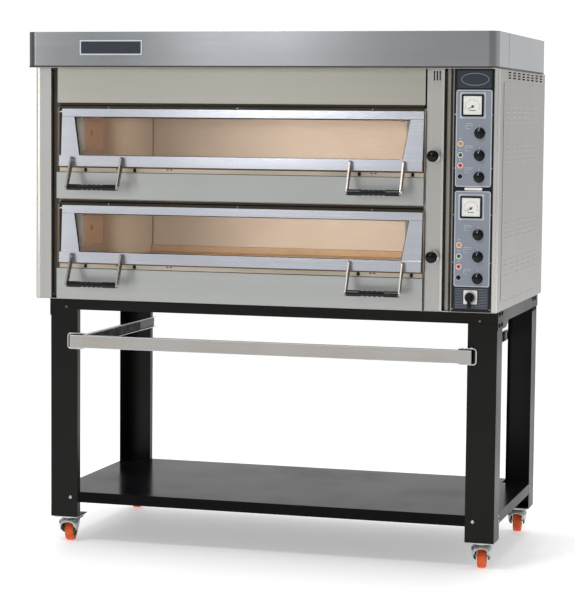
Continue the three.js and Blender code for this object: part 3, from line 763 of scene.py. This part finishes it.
def elements(deck):
    """The top heating element: a smooth serpentine with ceramic beads at its ends."""
    low, high = extent(f"{deck}_heating_element")
    level, radius = (low.z + high.z) / 2, (high.z - low.z) / 2
    left, right = -590, 465
    runs = [90 + 118 * step for step in range(6)]
    path = []
    for index, y in enumerate(runs):
        start, end, bulge = (left, right, 30) if index % 2 else (right, left, -30)
        path += [(start, y, level), (end, y, level)]
        if index + 1 < len(runs):
            path += [(end + bulge * math.sin(a), y + 59 * (1 - math.cos(a)), level)
                     for a in (math.pi * step / 12 for step in range(1, 12))]
    bm = bmesh.new()
    add_tube(bm, path, radius)
    tube = piece(f"{deck}_element_tube", bm, "element")
    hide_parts(f"{deck}_heating_element")
    bead = [(4.7, 0), (8, 0), (9, 3), (9, 14), (8, 17), (4.7, 17), (4.7, 0)]
    turned(f"{deck}_element_beads", "white", bead,
           [(right, y, level) for y in (runs[0], runs[-1])], X, 16)


# ---- doors ----------------------------------------------------------------------------------
def door_matrix(deck):
    """A shut door's own frame: its origin on the hinge axis, leaning with the leaf."""
    hinge = Matrix.Translation((0, HINGE_Y, FLOOR[deck] + HINGE_RISE))
    return TO_ROW @ hinge @ Matrix.Rotation(-DOOR_LEAN, 4, "X")


def window(margin):
    """The window's outline, narrower at the foot, grown by a margin."""
    top, foot = DOOR_TOP - TOP_RAIL, DOOR_FOOT + BOTTOM_RAIL
    left, right = DOOR_X
    return [(left + STILE_TOP - margin, top + margin), (left + STILE_FOOT - margin, foot - margin),
            (right - STILE_FOOT + margin, foot - margin), (right - STILE_TOP + margin, top + margin)]


def doors():
    for deck in DECKS:
        door = {"body": f"{deck}_door", "matrix": door_matrix(deck)}
        plate(f"{deck}_window_gasket", "plastic", [window(0.5), window(-2.2)], DOOR_FRONT + 4, -3.8,
              edge=0.5, **door)
        bm = bmesh.new()
        for x, sign in zip(DOOR_X, (-1, 1)):
            washer = [(0, 0), (6, 0), (6, 1.5), (4.8, 2.2), (0, 2.2)]
            add_turned(bm, washer, (x, 0, 0), X * sign, 18)
        piece(f"{deck}_hinge_washers", bm, "zinc", **door)
        door_seams(deck, door)
        for side in HANDLES:
            handle(deck, side, door)


def door_seams(deck, door):
    """Hairline joints where the stiles meet the rails."""
    face, level = DOOR_FRONT, DOOR_TOP - TOP_RAIL
    spans = ((DOOR_X[0], DOOR_X[0] + STILE_TOP), (DOOR_X[1] - STILE_TOP, DOOR_X[1]))
    seams = [((x0, face - 0.25, level - 0.5), (x1, face + 0.2, level + 0.5)) for x0, x1 in spans]
    blocks(f"{deck}_door_joints", "seam_and_shade", seams, **door)


ARM_WIDTH = 9.5            # half the width of a handle arm's plate
ARM_HOLES = 4


def half_circle(centre, radius, start=0.0):
    """Half of a circle's outline, from an angle onwards."""
    return [(centre.x + radius * math.cos(a), centre.y + radius * math.sin(a))
            for a in (start + math.pi * step / 8 for step in range(9))]


def arm_outlines():
    """A handle arm's side view, in (w, v): a round tab on the rail, a drilled strap, a round foot."""
    face = DOOR_FRONT - RAIL_PROUD - 0.3
    top, foot = Vector((face - 11, DOOR_FOOT + 22)), Vector((GRIP_W, GRIP_V))
    run = (foot - top).normalized()
    outline = [(face, DOOR_FOOT + 4), (face, top.y), *half_circle(top, 11)[1:],
               *half_circle(foot, ARM_WIDTH, math.atan2(-run.x, run.y)), (face - 6, DOOR_FOOT - 8)]
    shares = (0.2 + 0.55 * index / (ARM_HOLES - 1) for index in range(ARM_HOLES))
    return [outline, *(oval(*top.lerp(foot, share), 4.2, steps=12) for share in shares)]


def handle(deck, side, door):
    """A pull handle: two arms with darker faces of painted shade, dark discs of painted shade in their
    holes, bolts and a grip with finger swells.
    """
    name = f"{deck}_{side}_handle"
    ends = HANDLES[side]
    arm = arm_outlines()
    arms = plates(f"{name}_arms", "arm", [(arm, x - 2.4, x + 2.4) for x in ends], SIDEWAYS,
                  edge=0.35, **door)
    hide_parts(f"{deck}_door_{side}_handle_arms")
    # Thin sheets on the arms' sides, darker than their edges: painted shade.
    faces = [(arm, x + sign * 2.45, x + sign * 2.8) for x in ends for sign in (-1, 1)]
    plates(f"{name}_arm_face_shades", "arm_face", faces, SIDEWAYS, **door)
    # Dark discs inside the arms' holes: painted shade, so that the holes read dark from any side.
    hole_shades = [([hole], x - 1.6, x + 1.6) for x in ends for hole in arm[1:]]
    plates(f"{name}_arm_hole_shades", "matt", hole_shades, SIDEWAYS, **door)
    profile = grip_profile(ends[1] - ends[0] - 5.8)
    grip = turned(f"{name}_grip", "grip", profile, (ends[0] + 2.9, GRIP_W, GRIP_V), X, 24, **door)
    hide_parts(f"{deck}_door_{side}_grip")
    bm = bmesh.new()
    for x, sign in zip(ends, (-1, 1)):
        add_turned(bm, [(0, 0), (7.5, 0), (7.5, 1.8), (5, 4), (0, 4.6)],
                   (x + sign * 2.6, GRIP_W, GRIP_V), X * sign, 18)
    piece(f"{name}_end_caps", bm, "chrome", **door)
    bolts = [(x + sign * 2.5, DOOR_FRONT - RAIL_PROUD - 11, DOOR_FOOT + 21)
             for x, sign in zip(ends, (1, -1))]
    screws(f"{name}_bolts", bolts, X, 4, "zinc", **door)


def grip_profile(length):
    """A grip's radius along its length: plain ends and five finger swells between them."""
    swells, plain = 5, 0.26
    profile = [(0, 0), (GRIP_R - 1.5, 0), (GRIP_R, 1.5), (GRIP_R, length * plain)]
    for step in range(1, swells * 8):
        share = step / (swells * 8)
        profile.append((GRIP_R - 2.2 * math.sin(math.pi * swells * share) ** 2,
                        length * (plain + (1 - 2 * plain) * share)))
    return profile + [(GRIP_R, length * (1 - plain)), (GRIP_R, length - 1.5), (GRIP_R - 1.5, length),
                      (0, length)]


# ---- control column -------------------------------------------------------------------------
FASCIA_X, FASCIA_WIDTH = 735.5, 121
FASCIAS = {"upper": (FASCIA_X, 1470, FASCIA_WIDTH, 320), "lower": (FASCIA_X, 1138, FASCIA_WIDTH, 318)}
FILM_FACE = PANEL_Y - 1.2                      # face of the films stuck on the panel
CAPTIONS = ((30, 708, 24, 1.2), (24, 708, 14, 1), (14, 708, 14, 1), (14, 708, 1, 10),
            (25, 724, 9, 1))                   # rise above the knob, start, length and height


def on_panel(degrees):
    """A direction in the plane of the panel."""
    return Vector((math.cos(math.radians(degrees)), 0, math.sin(math.radians(degrees))))


def fascia(deck):
    """A printed fascia with its light outline, holes for the controls and printed marks."""
    x, z, width, height = FASCIAS[deck]
    floor = FLOOR[deck]
    holes = [round_rect(GAUGE_X, floor + GAUGE_RISE, 73, 73, 3), oval(LAMP_X, floor + RESET_RISE, 7.6)]
    holes += [oval(KNOB_X, floor + rise, 18.6, steps=32) for rise in KNOBS.values()]
    plate(f"{deck}_fascia", "film", [round_rect(x, z, width, height, 7.5), *holes],
          PANEL_Y - 0.2, FILM_FACE, edge=0.3)
    bm = bmesh.new()
    for outlines in (band(x, z, width - 2, height - 2, 7, 4.4, 5),
                     band(GAUGE_X, floor + GAUGE_RISE, 86, 86, 4, 5, 3)):
        add_plate(bm, outlines, FILM_FACE - 0.1, FILM_FACE - 0.5)
    add_marks(bm, floor, FILM_FACE - 0.1)
    piece(f"{deck}_fascia_print", bm, "ink")


def add_marks(bm, floor, face):
    """Plain caption bars, scale ticks round each knob and small dashes beside each lamp."""
    tick = Vector((0.6, 0.2, 0.6))
    for rise in KNOBS.values():
        z = floor + rise
        for up, start, length, height in CAPTIONS:
            add_block(bm, (start, face - 0.4, z + up), (start + length, face, z + up + height))
        for step in range(9):
            spot = Vector((KNOB_X, face - 0.2, z)) + on_panel(225 - step * 33.75) * 21.5
            add_block(bm, spot - tick, spot + tick)
        add_block(bm, (KNOB_X - 1, face - 0.4, z + 22), (KNOB_X + 1, face, z + 27))
    for rise in LAMPS.values():
        z = floor + rise + 17
        add_block(bm, (LAMP_X - 5, face - 0.4, z), (LAMP_X + 5, face, z + 1.6))


def gauge(deck):
    """The thermometer's grey surround, dial card, ticks, needle and glass."""
    z = FLOOR[deck] + GAUGE_RISE
    face = extent(f"{deck}_gauge")[0].y
    card = face + 2.2
    hub = Vector((GAUGE_X, card, z - 4))
    plate(f"{deck}_gauge_surround", "grey", band(GAUGE_X, z, 81, 81, 3, 8, 3),
          PANEL_Y - 1.3, PANEL_Y - 2.6, edge=0.4)
    plate(f"{deck}_gauge_dial", "dial", [round_rect(GAUGE_X, z, 61, 61, 1.5)], card, card + 0.6)
    bm = bmesh.new()
    ticks = 26
    for step in range(ticks):
        length = 5 if step % 5 == 0 else 2.6
        along = on_panel(200 - 220 * step / (ticks - 1))
        add_ray(bm, hub - Y * 0.1, along, 25 - length, 25, 0.45)
    add_plate(bm, [round_rect(GAUGE_X, z - 17, 22, 2, 0.8)], card - 0.1, card - 0.4)
    piece(f"{deck}_gauge_ticks", bm, "needle")
    bm = bmesh.new()
    add_ray(bm, hub - Y * 0.7, Vector((-0.86, 0, -0.5)), -7, 21, 1.1)
    add_turned(bm, [(0, 0), (4.2, 0), (4.2, 0.8), (0, 1)], hub - Y * 0.3, -Y, 18)
    piece(f"{deck}_gauge_needle", bm, "needle")
    plate(f"{deck}_gauge_glass", "dial_glass", [round_rect(GAUGE_X, z, 61.4, 61.4, 1.5)],
          face + 0.9, face + 0.4)


def add_ray(bm, centre, along, start, end, half):
    """A thin strip from start to end along a direction in the plane of the panel."""
    across = Vector((-along.z, 0, along.x)) * half
    corners = [centre + along * start - across, centre + along * end - across * 0.5,
               centre + along * end + across * 0.5, centre + along * start + across]
    front = [bm.verts.new(corner) for corner in corners]
    back = [bm.verts.new(corner - Y * 0.3) for corner in corners]
    join_rings(bm, front, back)
    bm.faces.new(front)
    bm.faces.new(back)


def knob(deck, role):
    """A control knob: a fluted cap on a skirt, a flat disc and a white pointer."""
    name = f"{deck}_{role}_knob"
    z = FLOOR[deck] + KNOBS[role]
    left, right = KNOB_X - 1.1, KNOB_X + 1.1
    profile = [(0, 0), (17.2, 0), (18, 0.8), (18, 2.6), (16.5, 4), (13.6, 5), (13.2, 8), (12.8, 14),
               (11.6, 16.4), (9, 17), (0, 17)]
    cap = turned(f"{name}_cap", "plastic", profile, (KNOB_X, PANEL_Y - 0.3, z), -Y, 48, 12, 0.035,
                 body=name)
    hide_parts(name)
    blocks(f"{name}_pointer", "ink",
           [((left, PANEL_Y - 17.8, z + 1), (right, PANEL_Y - 17.1, z + 11)),
            ((left, PANEL_Y - 5.4, z + 13), (right, PANEL_Y - 4.2, z + 17.4))], body=name, edge=0.2)
    turned(f"{name}_disc", "grip", [(0, 0), (7.6, 0), (7.6, 0.5), (6.6, 0.8), (0, 0.8)],
           (KNOB_X, PANEL_Y - 17.2, z), -Y, 24, body=name)


def lamps(deck):
    """The signal lamps in their white rings, and the ring round the reset button."""
    spots = {tone: (LAMP_X, PANEL_Y, FLOOR[deck] + rise) for tone, rise in LAMPS.items()}
    ring = [(6.6, 1), (6.6, 3.6), (7.4, 4.4), (9.2, 4), (10, 2.8), (10, 1), (6.6, 1)]
    turned(f"{deck}_lamp_rings", "white", ring, list(spots.values()), -Y)
    for tone, spot in spots.items():
        dome = [(0, 1.2), (6.4, 1.2), (6.4, 4.2), (5.5, 6), (3.1, 7.2), (0, 7.6)]
        turned(f"{deck}_{tone}_lamp", tone, dome, spot, -Y, 24)
    ring = [(8, 0.4), (8, 3), (9, 3.8), (10.4, 3.4), (11, 2), (11, 0.4), (8, 0.4)]
    turned(f"{deck}_reset_ring", "grey", ring, (LAMP_X, PANEL_Y - 0.9, FLOOR[deck] + RESET_RISE), -Y)


def damper(deck):
    """A ball knob with its bright collar, and the washer on the pillar behind it."""
    name = f"{deck}_damper_knob"
    low, high = extent(name)
    radius = (high.z - low.z) / 2
    centre = Vector(((low.x + high.x) / 2, low.y + radius, (low.z + high.z) / 2))
    arc = [(radius * math.sin(a), -radius * math.cos(a))
           for a in (math.pi * step / 18 for step in range(1, 18))]
    ball = turned(f"{name}_ball", "glossy", [(0, -radius), *arc, (0, radius)], centre, -Y, 36,
                  body=name)
    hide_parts(name)
    end = centre.y - high.y
    shank = [(0, end), (4.8, end), (4.8, -27.4), (16.5, -27.4), (18, -26), (18, -21), (16, -19.4),
             (9, -18), (0, -18)]
    turned(f"{name}_shank", "bright", shank, centre, -Y, 32, body=name, slot="chrome_trim")
    washer = [(6.6, 0), (19, 0), (20, 0.6), (19, 1.6), (6.6, 1.6), (6.6, 0)]
    turned(f"{deck}_damper_washer", "chrome", washer, (centre.x, -0.2, centre.z), -Y, 32)


def switch():
    """The main switch's plate and scale, and the dome and pointer of its lever."""
    x, z = SWITCH
    plate("switch_plate", "white", [round_rect(x, z, 46, 46, 3)], PANEL_Y - 1.4, PANEL_Y - 5, edge=0.8)
    turned("switch_dome", "plastic", [(0, 0), (16, 0), (16, 2), (14.5, 3.5), (0, 3.5)],
           (x, PANEL_Y - 14.4, z), -Y, 32, body="main_switch")
    turned("switch_scale", "grey", [(16.2, 0.1), (20, 0.1), (20, 0.8), (16.2, 0.8), (16.2, 0.1)],
           (x, PANEL_Y - 5, z), -Y, 32)
    blocks("switch_pointer", "ink", [((x - 1, PANEL_Y - 20.6, z - 30), (x + 1, PANEL_Y - 20, z - 14))],
           body="main_switch")


def panel_plates():
    """The blank plates and the label on the control panel, and its screws."""
    plate("control_blank_plate", "dark_film", [round_rect(FASCIA_X, 1664, FASCIA_WIDTH - 6, 58, 3)],
          PANEL_Y - 0.2, FILM_FACE, edge=0.3)
    badge = [oval(FASCIA_X + 2, 1664, wide, tall, 40) for wide, tall in ((47, 21), (44.5, 18.5))]
    plate("control_plate_oval", "film", badge, FILM_FACE - 0.1, FILM_FACE - 0.5)
    plate("switch_back_plate", "plate",
          [round_rect(FASCIA_X, 941, FASCIA_WIDTH - 4, 72, 2), round_rect(*SWITCH, 47, 47, 3)],
          PANEL_Y - 0.2, FILM_FACE, edge=0.3)
    lines = []
    for row in range(13):
        z = 909 + row * 5.2
        beside_switch = abs(z - SWITCH[1]) < 25
        for left, right in ((681, 706), (760, 790)) if beside_switch else ((681, 790),):
            lines.append(((left, FILM_FACE - 0.35, z), (right, FILM_FACE, z + 1.1)))
    blocks("switch_plate_lines", "film", lines)
    plate("middle_label", "white", [round_rect(737, 1303.5, 60, 9, 4)], FILM_FACE, FILM_FACE - 0.8,
          edge=0.2)
    places = [(x, PANEL_Y, z) for x in (671.5, 797.2) for z in (1548, 1372, 1218, 1060, 905)]
    screws("panel_screws", places, -Y, 1.9)


def control_column():
    panel_plates()
    for deck in DECKS:
        fascia(deck)
        gauge(deck)
        lamps(deck)
        damper(deck)
        for role in KNOBS:
            knob(deck, role)
    switch()


# ---- stand ----------------------------------------------------------------------------------
def stand():
    frame_low, frame_high = extent("stand_top_frame")
    shelf_top = extent("shelf")[1].z
    for side, sign in SIDES:
        front_low, front_high = extent(f"front_{side}_leg")
        rear_low, rear_high = extent(f"rear_{side}_leg")
        outer = max(abs(front_low.x), abs(front_high.x))
        heads = [(sign * (outer + 2.7), y, frame_high.z - drop)
                 for y in (128, 172, rear_high.y - 95, rear_high.y - 50) for drop in (14, 52)]
        screws(f"{side}_frame_bolts", heads, X * sign, 8, "black", DOME)
        feet = [(sign * outer, y, z) for y in (front_high.y - 12, rear_low.y + 12) for z in (165, 181)]
        screws(f"{side}_leg_bolts", feet, X * sign, 4.2, "zinc", DOME)
        screws(f"{side}_leg_front_bolts", [(sign * (outer - 74), front_low.y, 171)], -Y, 6.5, "zinc",
               DOME)
        # Front bolts in a darkened steel instead of zinc: painted shade.
        screws(f"{side}_frame_front_bolts", [(sign * (outer - 60), frame_low.y, 857)], -Y, 5.5,
               "seam_and_shade", DOME, slot="zinc")
        corner = ((sign * (outer - 103), front_low.y + 30, shelf_top - 2.5),
                  (sign * (outer - 41), front_high.y + 3, shelf_top + 0.15))
        blocks(f"{side}_shelf_corner", "shelf", [corner])
        slide_fixings(side, sign)
    bar_details()


def slide_fixings(side, sign):
    """A slide channel's brackets on the legs, a dark sheet of painted shade inside it and its screws.
    """
    low, high = extent(f"{side}_slide_channel")
    web = sign * max(abs(low.x), abs(high.x))
    brackets = [((web, y, low.z + 4), (web + sign * 3.6, y + 24, high.z - 4))
                for y in (low.y + 18, high.y - 40)]
    blocks(f"{side}_slide_brackets", "zinc", brackets, edge=0.6)
    inside = web - sign * 2.1
    blocks(f"{side}_slide_shade_sheet", "plastic",
           [((inside, low.y + 2, low.z + 3), (inside - sign, high.y - 2, high.z - 3))])
    places = [(inside - sign * 1.1, y, (low.z + high.z) / 2) for y in (low.y + 30, high.y - 28)]
    screws(f"{side}_slide_screws", places, X * -sign, 3.4)


BAR_HALF, BAR_END_X = 724, 705                 # half the bar's length; middle of an end plate
END_FACE = 96.4                                # front of the end plates


def bar_details():
    """Rims round the bar's end plates, bright as a painted highlight, dark plates inside them as
    painted shade, runner sleeves and rolled edges.
    """
    low, high = extent("pull_out_bar")
    level = (low.z + high.z) / 2
    ends = (-BAR_END_X, BAR_END_X)
    rims = [(band(x, level, 68, 58, 12, 8, 8), END_FACE, END_FACE - 6) for x in ends]
    plates("bar_end_highlight_rims", "chrome", rims, body="pull_out_bar", slot="bright_steel", edge=0.8)
    shade_plates = [([round_rect(x, level, 59.6, 49.6, 8)], END_FACE, END_FACE - 0.6) for x in ends]
    plates("bar_end_shade_plates", "plastic", shade_plates, body="pull_out_bar")
    sleeves = [((sign * 689.8, 100, level - 16), (sign * 689, 709, level + 14)) for _, sign in SIDES]
    blocks("bar_runner_sleeves", "matt", sleeves, body="pull_out_bar")
    bm = bmesh.new()
    for z in (high.z - 7.6, low.z + 7.6):
        add_tube(bm, [(-BAR_HALF + 1, low.y + 1.1, z), (BAR_HALF - 1, low.y + 1.1, z)], 1.6, 10)
    piece("bar_rolled_edges", bm, "bright", body="pull_out_bar")


# ---- castors --------------------------------------------------------------------------------
WHEEL_R, WHEEL_HALF, TRAIL = 40, 15.5, 28
FORK_TOP = 92.7
# halves of the outlines of a tyre and a wheel core: radius, inset from the wheel's side
TREAD = ((27, 2), (33, 0), (37, 0.6), (39.4, 4), (40, 9))
RIM = ((5, 1), (10, 1), (11, 3.5), (22, 3.5), (24, 1), (26.7, 1))


def mirrored(half_outline):
    """A wheel's closed outline, made of a half and its mirror image."""
    near = [(radius, inset - WHEEL_HALF) for radius, inset in half_outline]
    return [*near, *((radius, -height) for radius, height in reversed(near)), near[0]]


def castor_matrix(corner):
    """The castor's own frame: origin on the floor under the swivel, y towards the wheel."""
    centre = middle(f"{corner}_castor_wheel")
    yaw = math.radians(CASTORS[corner])
    pivot = Vector((centre.x + TRAIL * math.sin(yaw), centre.y - TRAIL * math.cos(yaw), 0))
    return TO_ROW @ Matrix.Translation(pivot) @ Matrix.Rotation(yaw, 4, "Z")


def castor(corner):
    matrix = castor_matrix(corner)
    wheel = {"body": f"{corner}_wheel", "matrix": matrix}
    fork = {"body": f"{corner}_fork", "matrix": matrix}
    hub = (0, TRAIL, WHEEL_R)
    tyre = turned(f"{corner}_tyre", "rubber", mirrored(TREAD), hub, X, 56, **wheel)
    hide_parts(f"{corner}_castor_wheel")
    turned(f"{corner}_wheel_core", "plastic", mirrored(RIM), hub, X, 40, **wheel)
    fork_piece(corner, fork, hub)
    castor_plate(corner, matrix)
    if corner.startswith("front"):
        brake(corner, fork)


def fork_piece(corner, fork, hub):
    """Pressed fork: a bell-shaped housing open below, with the axle bolt through it."""
    bm = bmesh.new()
    add_bell(bm)
    add_turned(bm, [(0, -1.5), (26, -1.5), (29, -0.6), (29, 3.4), (0, 3.4)], (0, 4, FORK_TOP - 4),
               Z, 32)
    shell = piece(f"{corner}_fork_shell", bm, "zinc", **fork)
    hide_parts(f"{corner}_castor_fork")
    wall = shell.modifiers.new("wall", "SOLIDIFY")
    wall.thickness = 2.2 * MM
    wall.offset = -1
    reach = WHEEL_HALF + 8
    head = [(0, -reach - 2), (5, -reach - 2), (6, -reach), (6, -reach + 4), (3.9, -reach + 4)]
    bolt = [*head, *((radius, -height) for radius, height in reversed(head))]
    turned(f"{corner}_axle_bolt", "zinc", bolt, hub, X, 6, **fork)


# the bell's stations along the castor: y, half width, height of the crown, height of the foot
BELL = ((-33, 23, 76, 62), (-29, 29, 82, 55), (-20, 34, 86, 49), (-6, 36.5, 87.5, 43),
        (8, 36.5, 88, 36), (20, 35, 88, 29), (32, 32, 87, 27), (42, 28, 84, 38), (49, 24, 80, 54),
        (53, 20, 76, 64))


def add_bell(bm):
    """Arches of growing and shrinking size, joined into one open shell."""
    arches = []
    for y, half, crown, foot in BELL:
        spring = crown - 13
        inward = max(half - (spring - foot) * 0.2, 19.5)
        arch = [(-half * math.cos(a), spring + (crown - spring) * math.sin(a))
                for a in (math.pi * step / 10 for step in range(1, 10))]
        points = [(-inward, foot), (-half, spring), *arch, (half, spring), (inward, foot)]
        arches.append([bm.verts.new((x, y, z)) for x, z in points])
    for first, second in zip(arches, arches[1:]):
        for step in range(len(first) - 1):
            bm.faces.new((first[step], first[step + 1], second[step + 1], second[step]))


def castor_plate(corner, matrix):
    """The fixed top plate between the fork and the leg, its bearing race and its four bolts."""
    low, high = FORK_TOP + 0.4, extent(f"{corner}_leg")[0].z - 0.3
    unturned = matrix @ Matrix.Rotation(-math.radians(CASTORS[corner]), 4, "Z")
    spots = [(x, y) for x in (-34, 34) for y in (-27, 27)]
    holes = [oval(x, y, 4.6, steps=12) for x, y in spots]
    bm = bmesh.new()
    add_plate(bm, [round_rect(0, 0, 94, 80, 7), *holes], high - 4, high, LYING)
    race = high - low - 4.1
    if race > 0.5:
        add_turned(bm, [(0, 0), (27, 0), (28, 0.4), (28, race), (0, race)], (0, 0, low), Z, 32)
    piece(f"{corner}_castor_plate", bm, "zinc", matrix=unturned, edge=0.4)
    heads = [(x, y, high - 4.2) for x, y in spots]
    screws(f"{corner}_plate_bolts", heads, -Z, 6.5, "zinc", DOME, matrix=unturned)


def brake(corner, fork):
    """A serrated foot pedal that locks the wheel."""
    outline = [(38, 83), (52, 86), (92, 80), (96, 75), (92, 72), (56, 76), (38, 75)]
    bm = bmesh.new()
    add_plate(bm, [outline], -30, 30, SIDEWAYS)
    for step in range(8):
        y = 57 + step * 4.6
        z = 85 - (y - 52) * 0.15
        add_block(bm, (-29, y - 1, z - 2), (29, y + 1, z + 2))
    piece(f"{corner}_brake_pedal", bm, "plastic", edge=1.0, **fork)


# ---- surroundings ---------------------------------------------------------------------------
CAMERA_PLACE = (2098.5, -6905.6, 1527.6)
CAMERA_YAW, CAMERA_PITCH, CAMERA_ROLL = 0.2818, -0.0850, 0.0091
CAMERA_LENS = 127.3
FRONT_GLOW, BACK_GLOW = 0.58, 1.06             # how bright the room is in front and behind
LEFT_SHARE, RIGHT_SHARE = 0.34, 0.66           # the shares of it left at the left and the right


def studio_floor():
    bm = bmesh.new()
    bmesh.ops.create_grid(bm, x_segments=8, y_segments=8, size=14000)
    bm.transform(TO_ROW)
    mesh = bpy.data.meshes.new("studio_floor")
    bm.to_mesh(mesh)
    bm.free()
    shader = Shader("studio_floor", Emission_Color=colour("#f6f6f6"), Emission_Strength=0.42)
    tone = shader.blend(shader.noise(0.4), "#f4f4f4", "#f8f8f8", start=0, end=1)
    mesh.materials.append(shader.finish(tone, 0.7))
    floor = bpy.data.objects.new("studio_floor", mesh)
    bpy.context.scene.collection.objects.link(floor)


def room_light():
    """A plain white room, dimmer in front than behind and dimmer at its left and right."""
    world = bpy.data.worlds.new("studio")
    bpy.context.scene.world = world
    world.use_nodes = True
    tree = world.node_tree
    split = tree.nodes.new("ShaderNodeSeparateXYZ")
    tree.links.new(tree.nodes.new("ShaderNodeTexCoord").outputs["Generated"], split.inputs[0])
    strength = fade(tree, split.outputs["Y"], (-0.5, 0.35), (FRONT_GLOW, BACK_GLOW))
    for span, levels in (((-0.64, -0.53), (LEFT_SHARE, 1)), ((-0.1, 0.25), (1, RIGHT_SHARE))):
        product = tree.nodes.new("ShaderNodeMath")
        product.operation = "MULTIPLY"
        tree.links.new(strength, product.inputs[0])
        tree.links.new(fade(tree, split.outputs["X"], span, levels), product.inputs[1])
        strength = product.outputs[0]
    tree.links.new(strength, tree.nodes["Background"].inputs["Strength"])
    tree.nodes["Background"].inputs["Color"].default_value = (1, 1, 1, 1)


def fade(tree, value, span, levels):
    """A smooth change from one level to another over a span of a value."""
    made = tree.nodes.new("ShaderNodeMapRange")
    made.interpolation_type = "SMOOTHSTEP"
    for socket, number in zip(("From Min", "From Max", "To Min", "To Max"), (*span, *levels)):
        made.inputs[socket].default_value = number
    tree.links.new(value, made.inputs["Value"])
    return made.outputs["Result"]


def soft_light(name, place, target, size, power, tint=(1, 1, 1)):
    """A rectangular softbox at a place in millimetres, facing a target."""
    data = bpy.data.lights.new(name, "AREA")
    data.shape = "RECTANGLE"
    data.size, data.size_y = size[0] * MM, size[1] * MM
    data.energy = power
    data.color = tint
    light = bpy.data.objects.new(name, data)
    light.location = TO_ROW @ Vector(place)
    aim = (Vector(target) - Vector(place)).normalized()
    light.rotation_mode = "QUATERNION"
    light.rotation_quaternion = aim.to_track_quat("-Z", "Y")
    bpy.context.scene.collection.objects.link(light)


def lights():
    soft_light("key", (-700, -3000, 4600), (0, 0, 1200), (1300, 800), 70)
    soft_light("top", (0, 700, 4300), (0, 500, 0), (3000, 2400), 45)
    soft_light("canopy_card", (-1050, -3400, 1980), (-100, -70, 1780), (800, 460), 1.1)
    soft_light("flash", (-1500, -5400, 2700), (0, 0, 1290), (200, 200), 4.5)
    soft_light("left_strip", (-2450, -3150, 1700), (-800, -70, 1500), (420, 1600), 3.2)
    for deck in DECKS:
        z = FLOOR[deck] + 165
        soft_light(f"{deck}_chamber_light", (40, 280, z), (40, 735, z - 70), (930, 50), 3.05,
                   (1, 0.95, 0.89))


def camera():
    yaw, pitch, roll = CAMERA_YAW, CAMERA_PITCH, CAMERA_ROLL
    level = Vector((-math.sin(yaw), math.cos(yaw), 0))
    ahead = level * math.cos(pitch) + Z * math.sin(pitch)
    right = Vector((math.cos(yaw), math.sin(yaw), 0))
    up = right.cross(ahead)
    right, up = (right * math.cos(roll) + up * math.sin(roll),
                 up * math.cos(roll) - right * math.sin(roll))
    data = bpy.data.cameras.new("camera")
    data.lens = CAMERA_LENS
    data.clip_end = 60
    made = bpy.data.objects.new("camera", data)
    turn = Matrix((right, up, -ahead)).transposed().to_4x4()
    made.matrix_world = Matrix.Translation(TO_ROW @ Vector(CAMERA_PLACE)) @ turn
    bpy.context.scene.collection.objects.link(made)
    bpy.context.scene.camera = made


dress_frame()
casing_trim()
front_gaps()
side_details()
back_details()
chambers()
doors()
control_column()
stand()
for corner_name in CASTORS:
    castor(corner_name)
studio_floor()
room_light()
lights()
camera()
bpy.context.scene.view_settings.view_transform = "Standard"
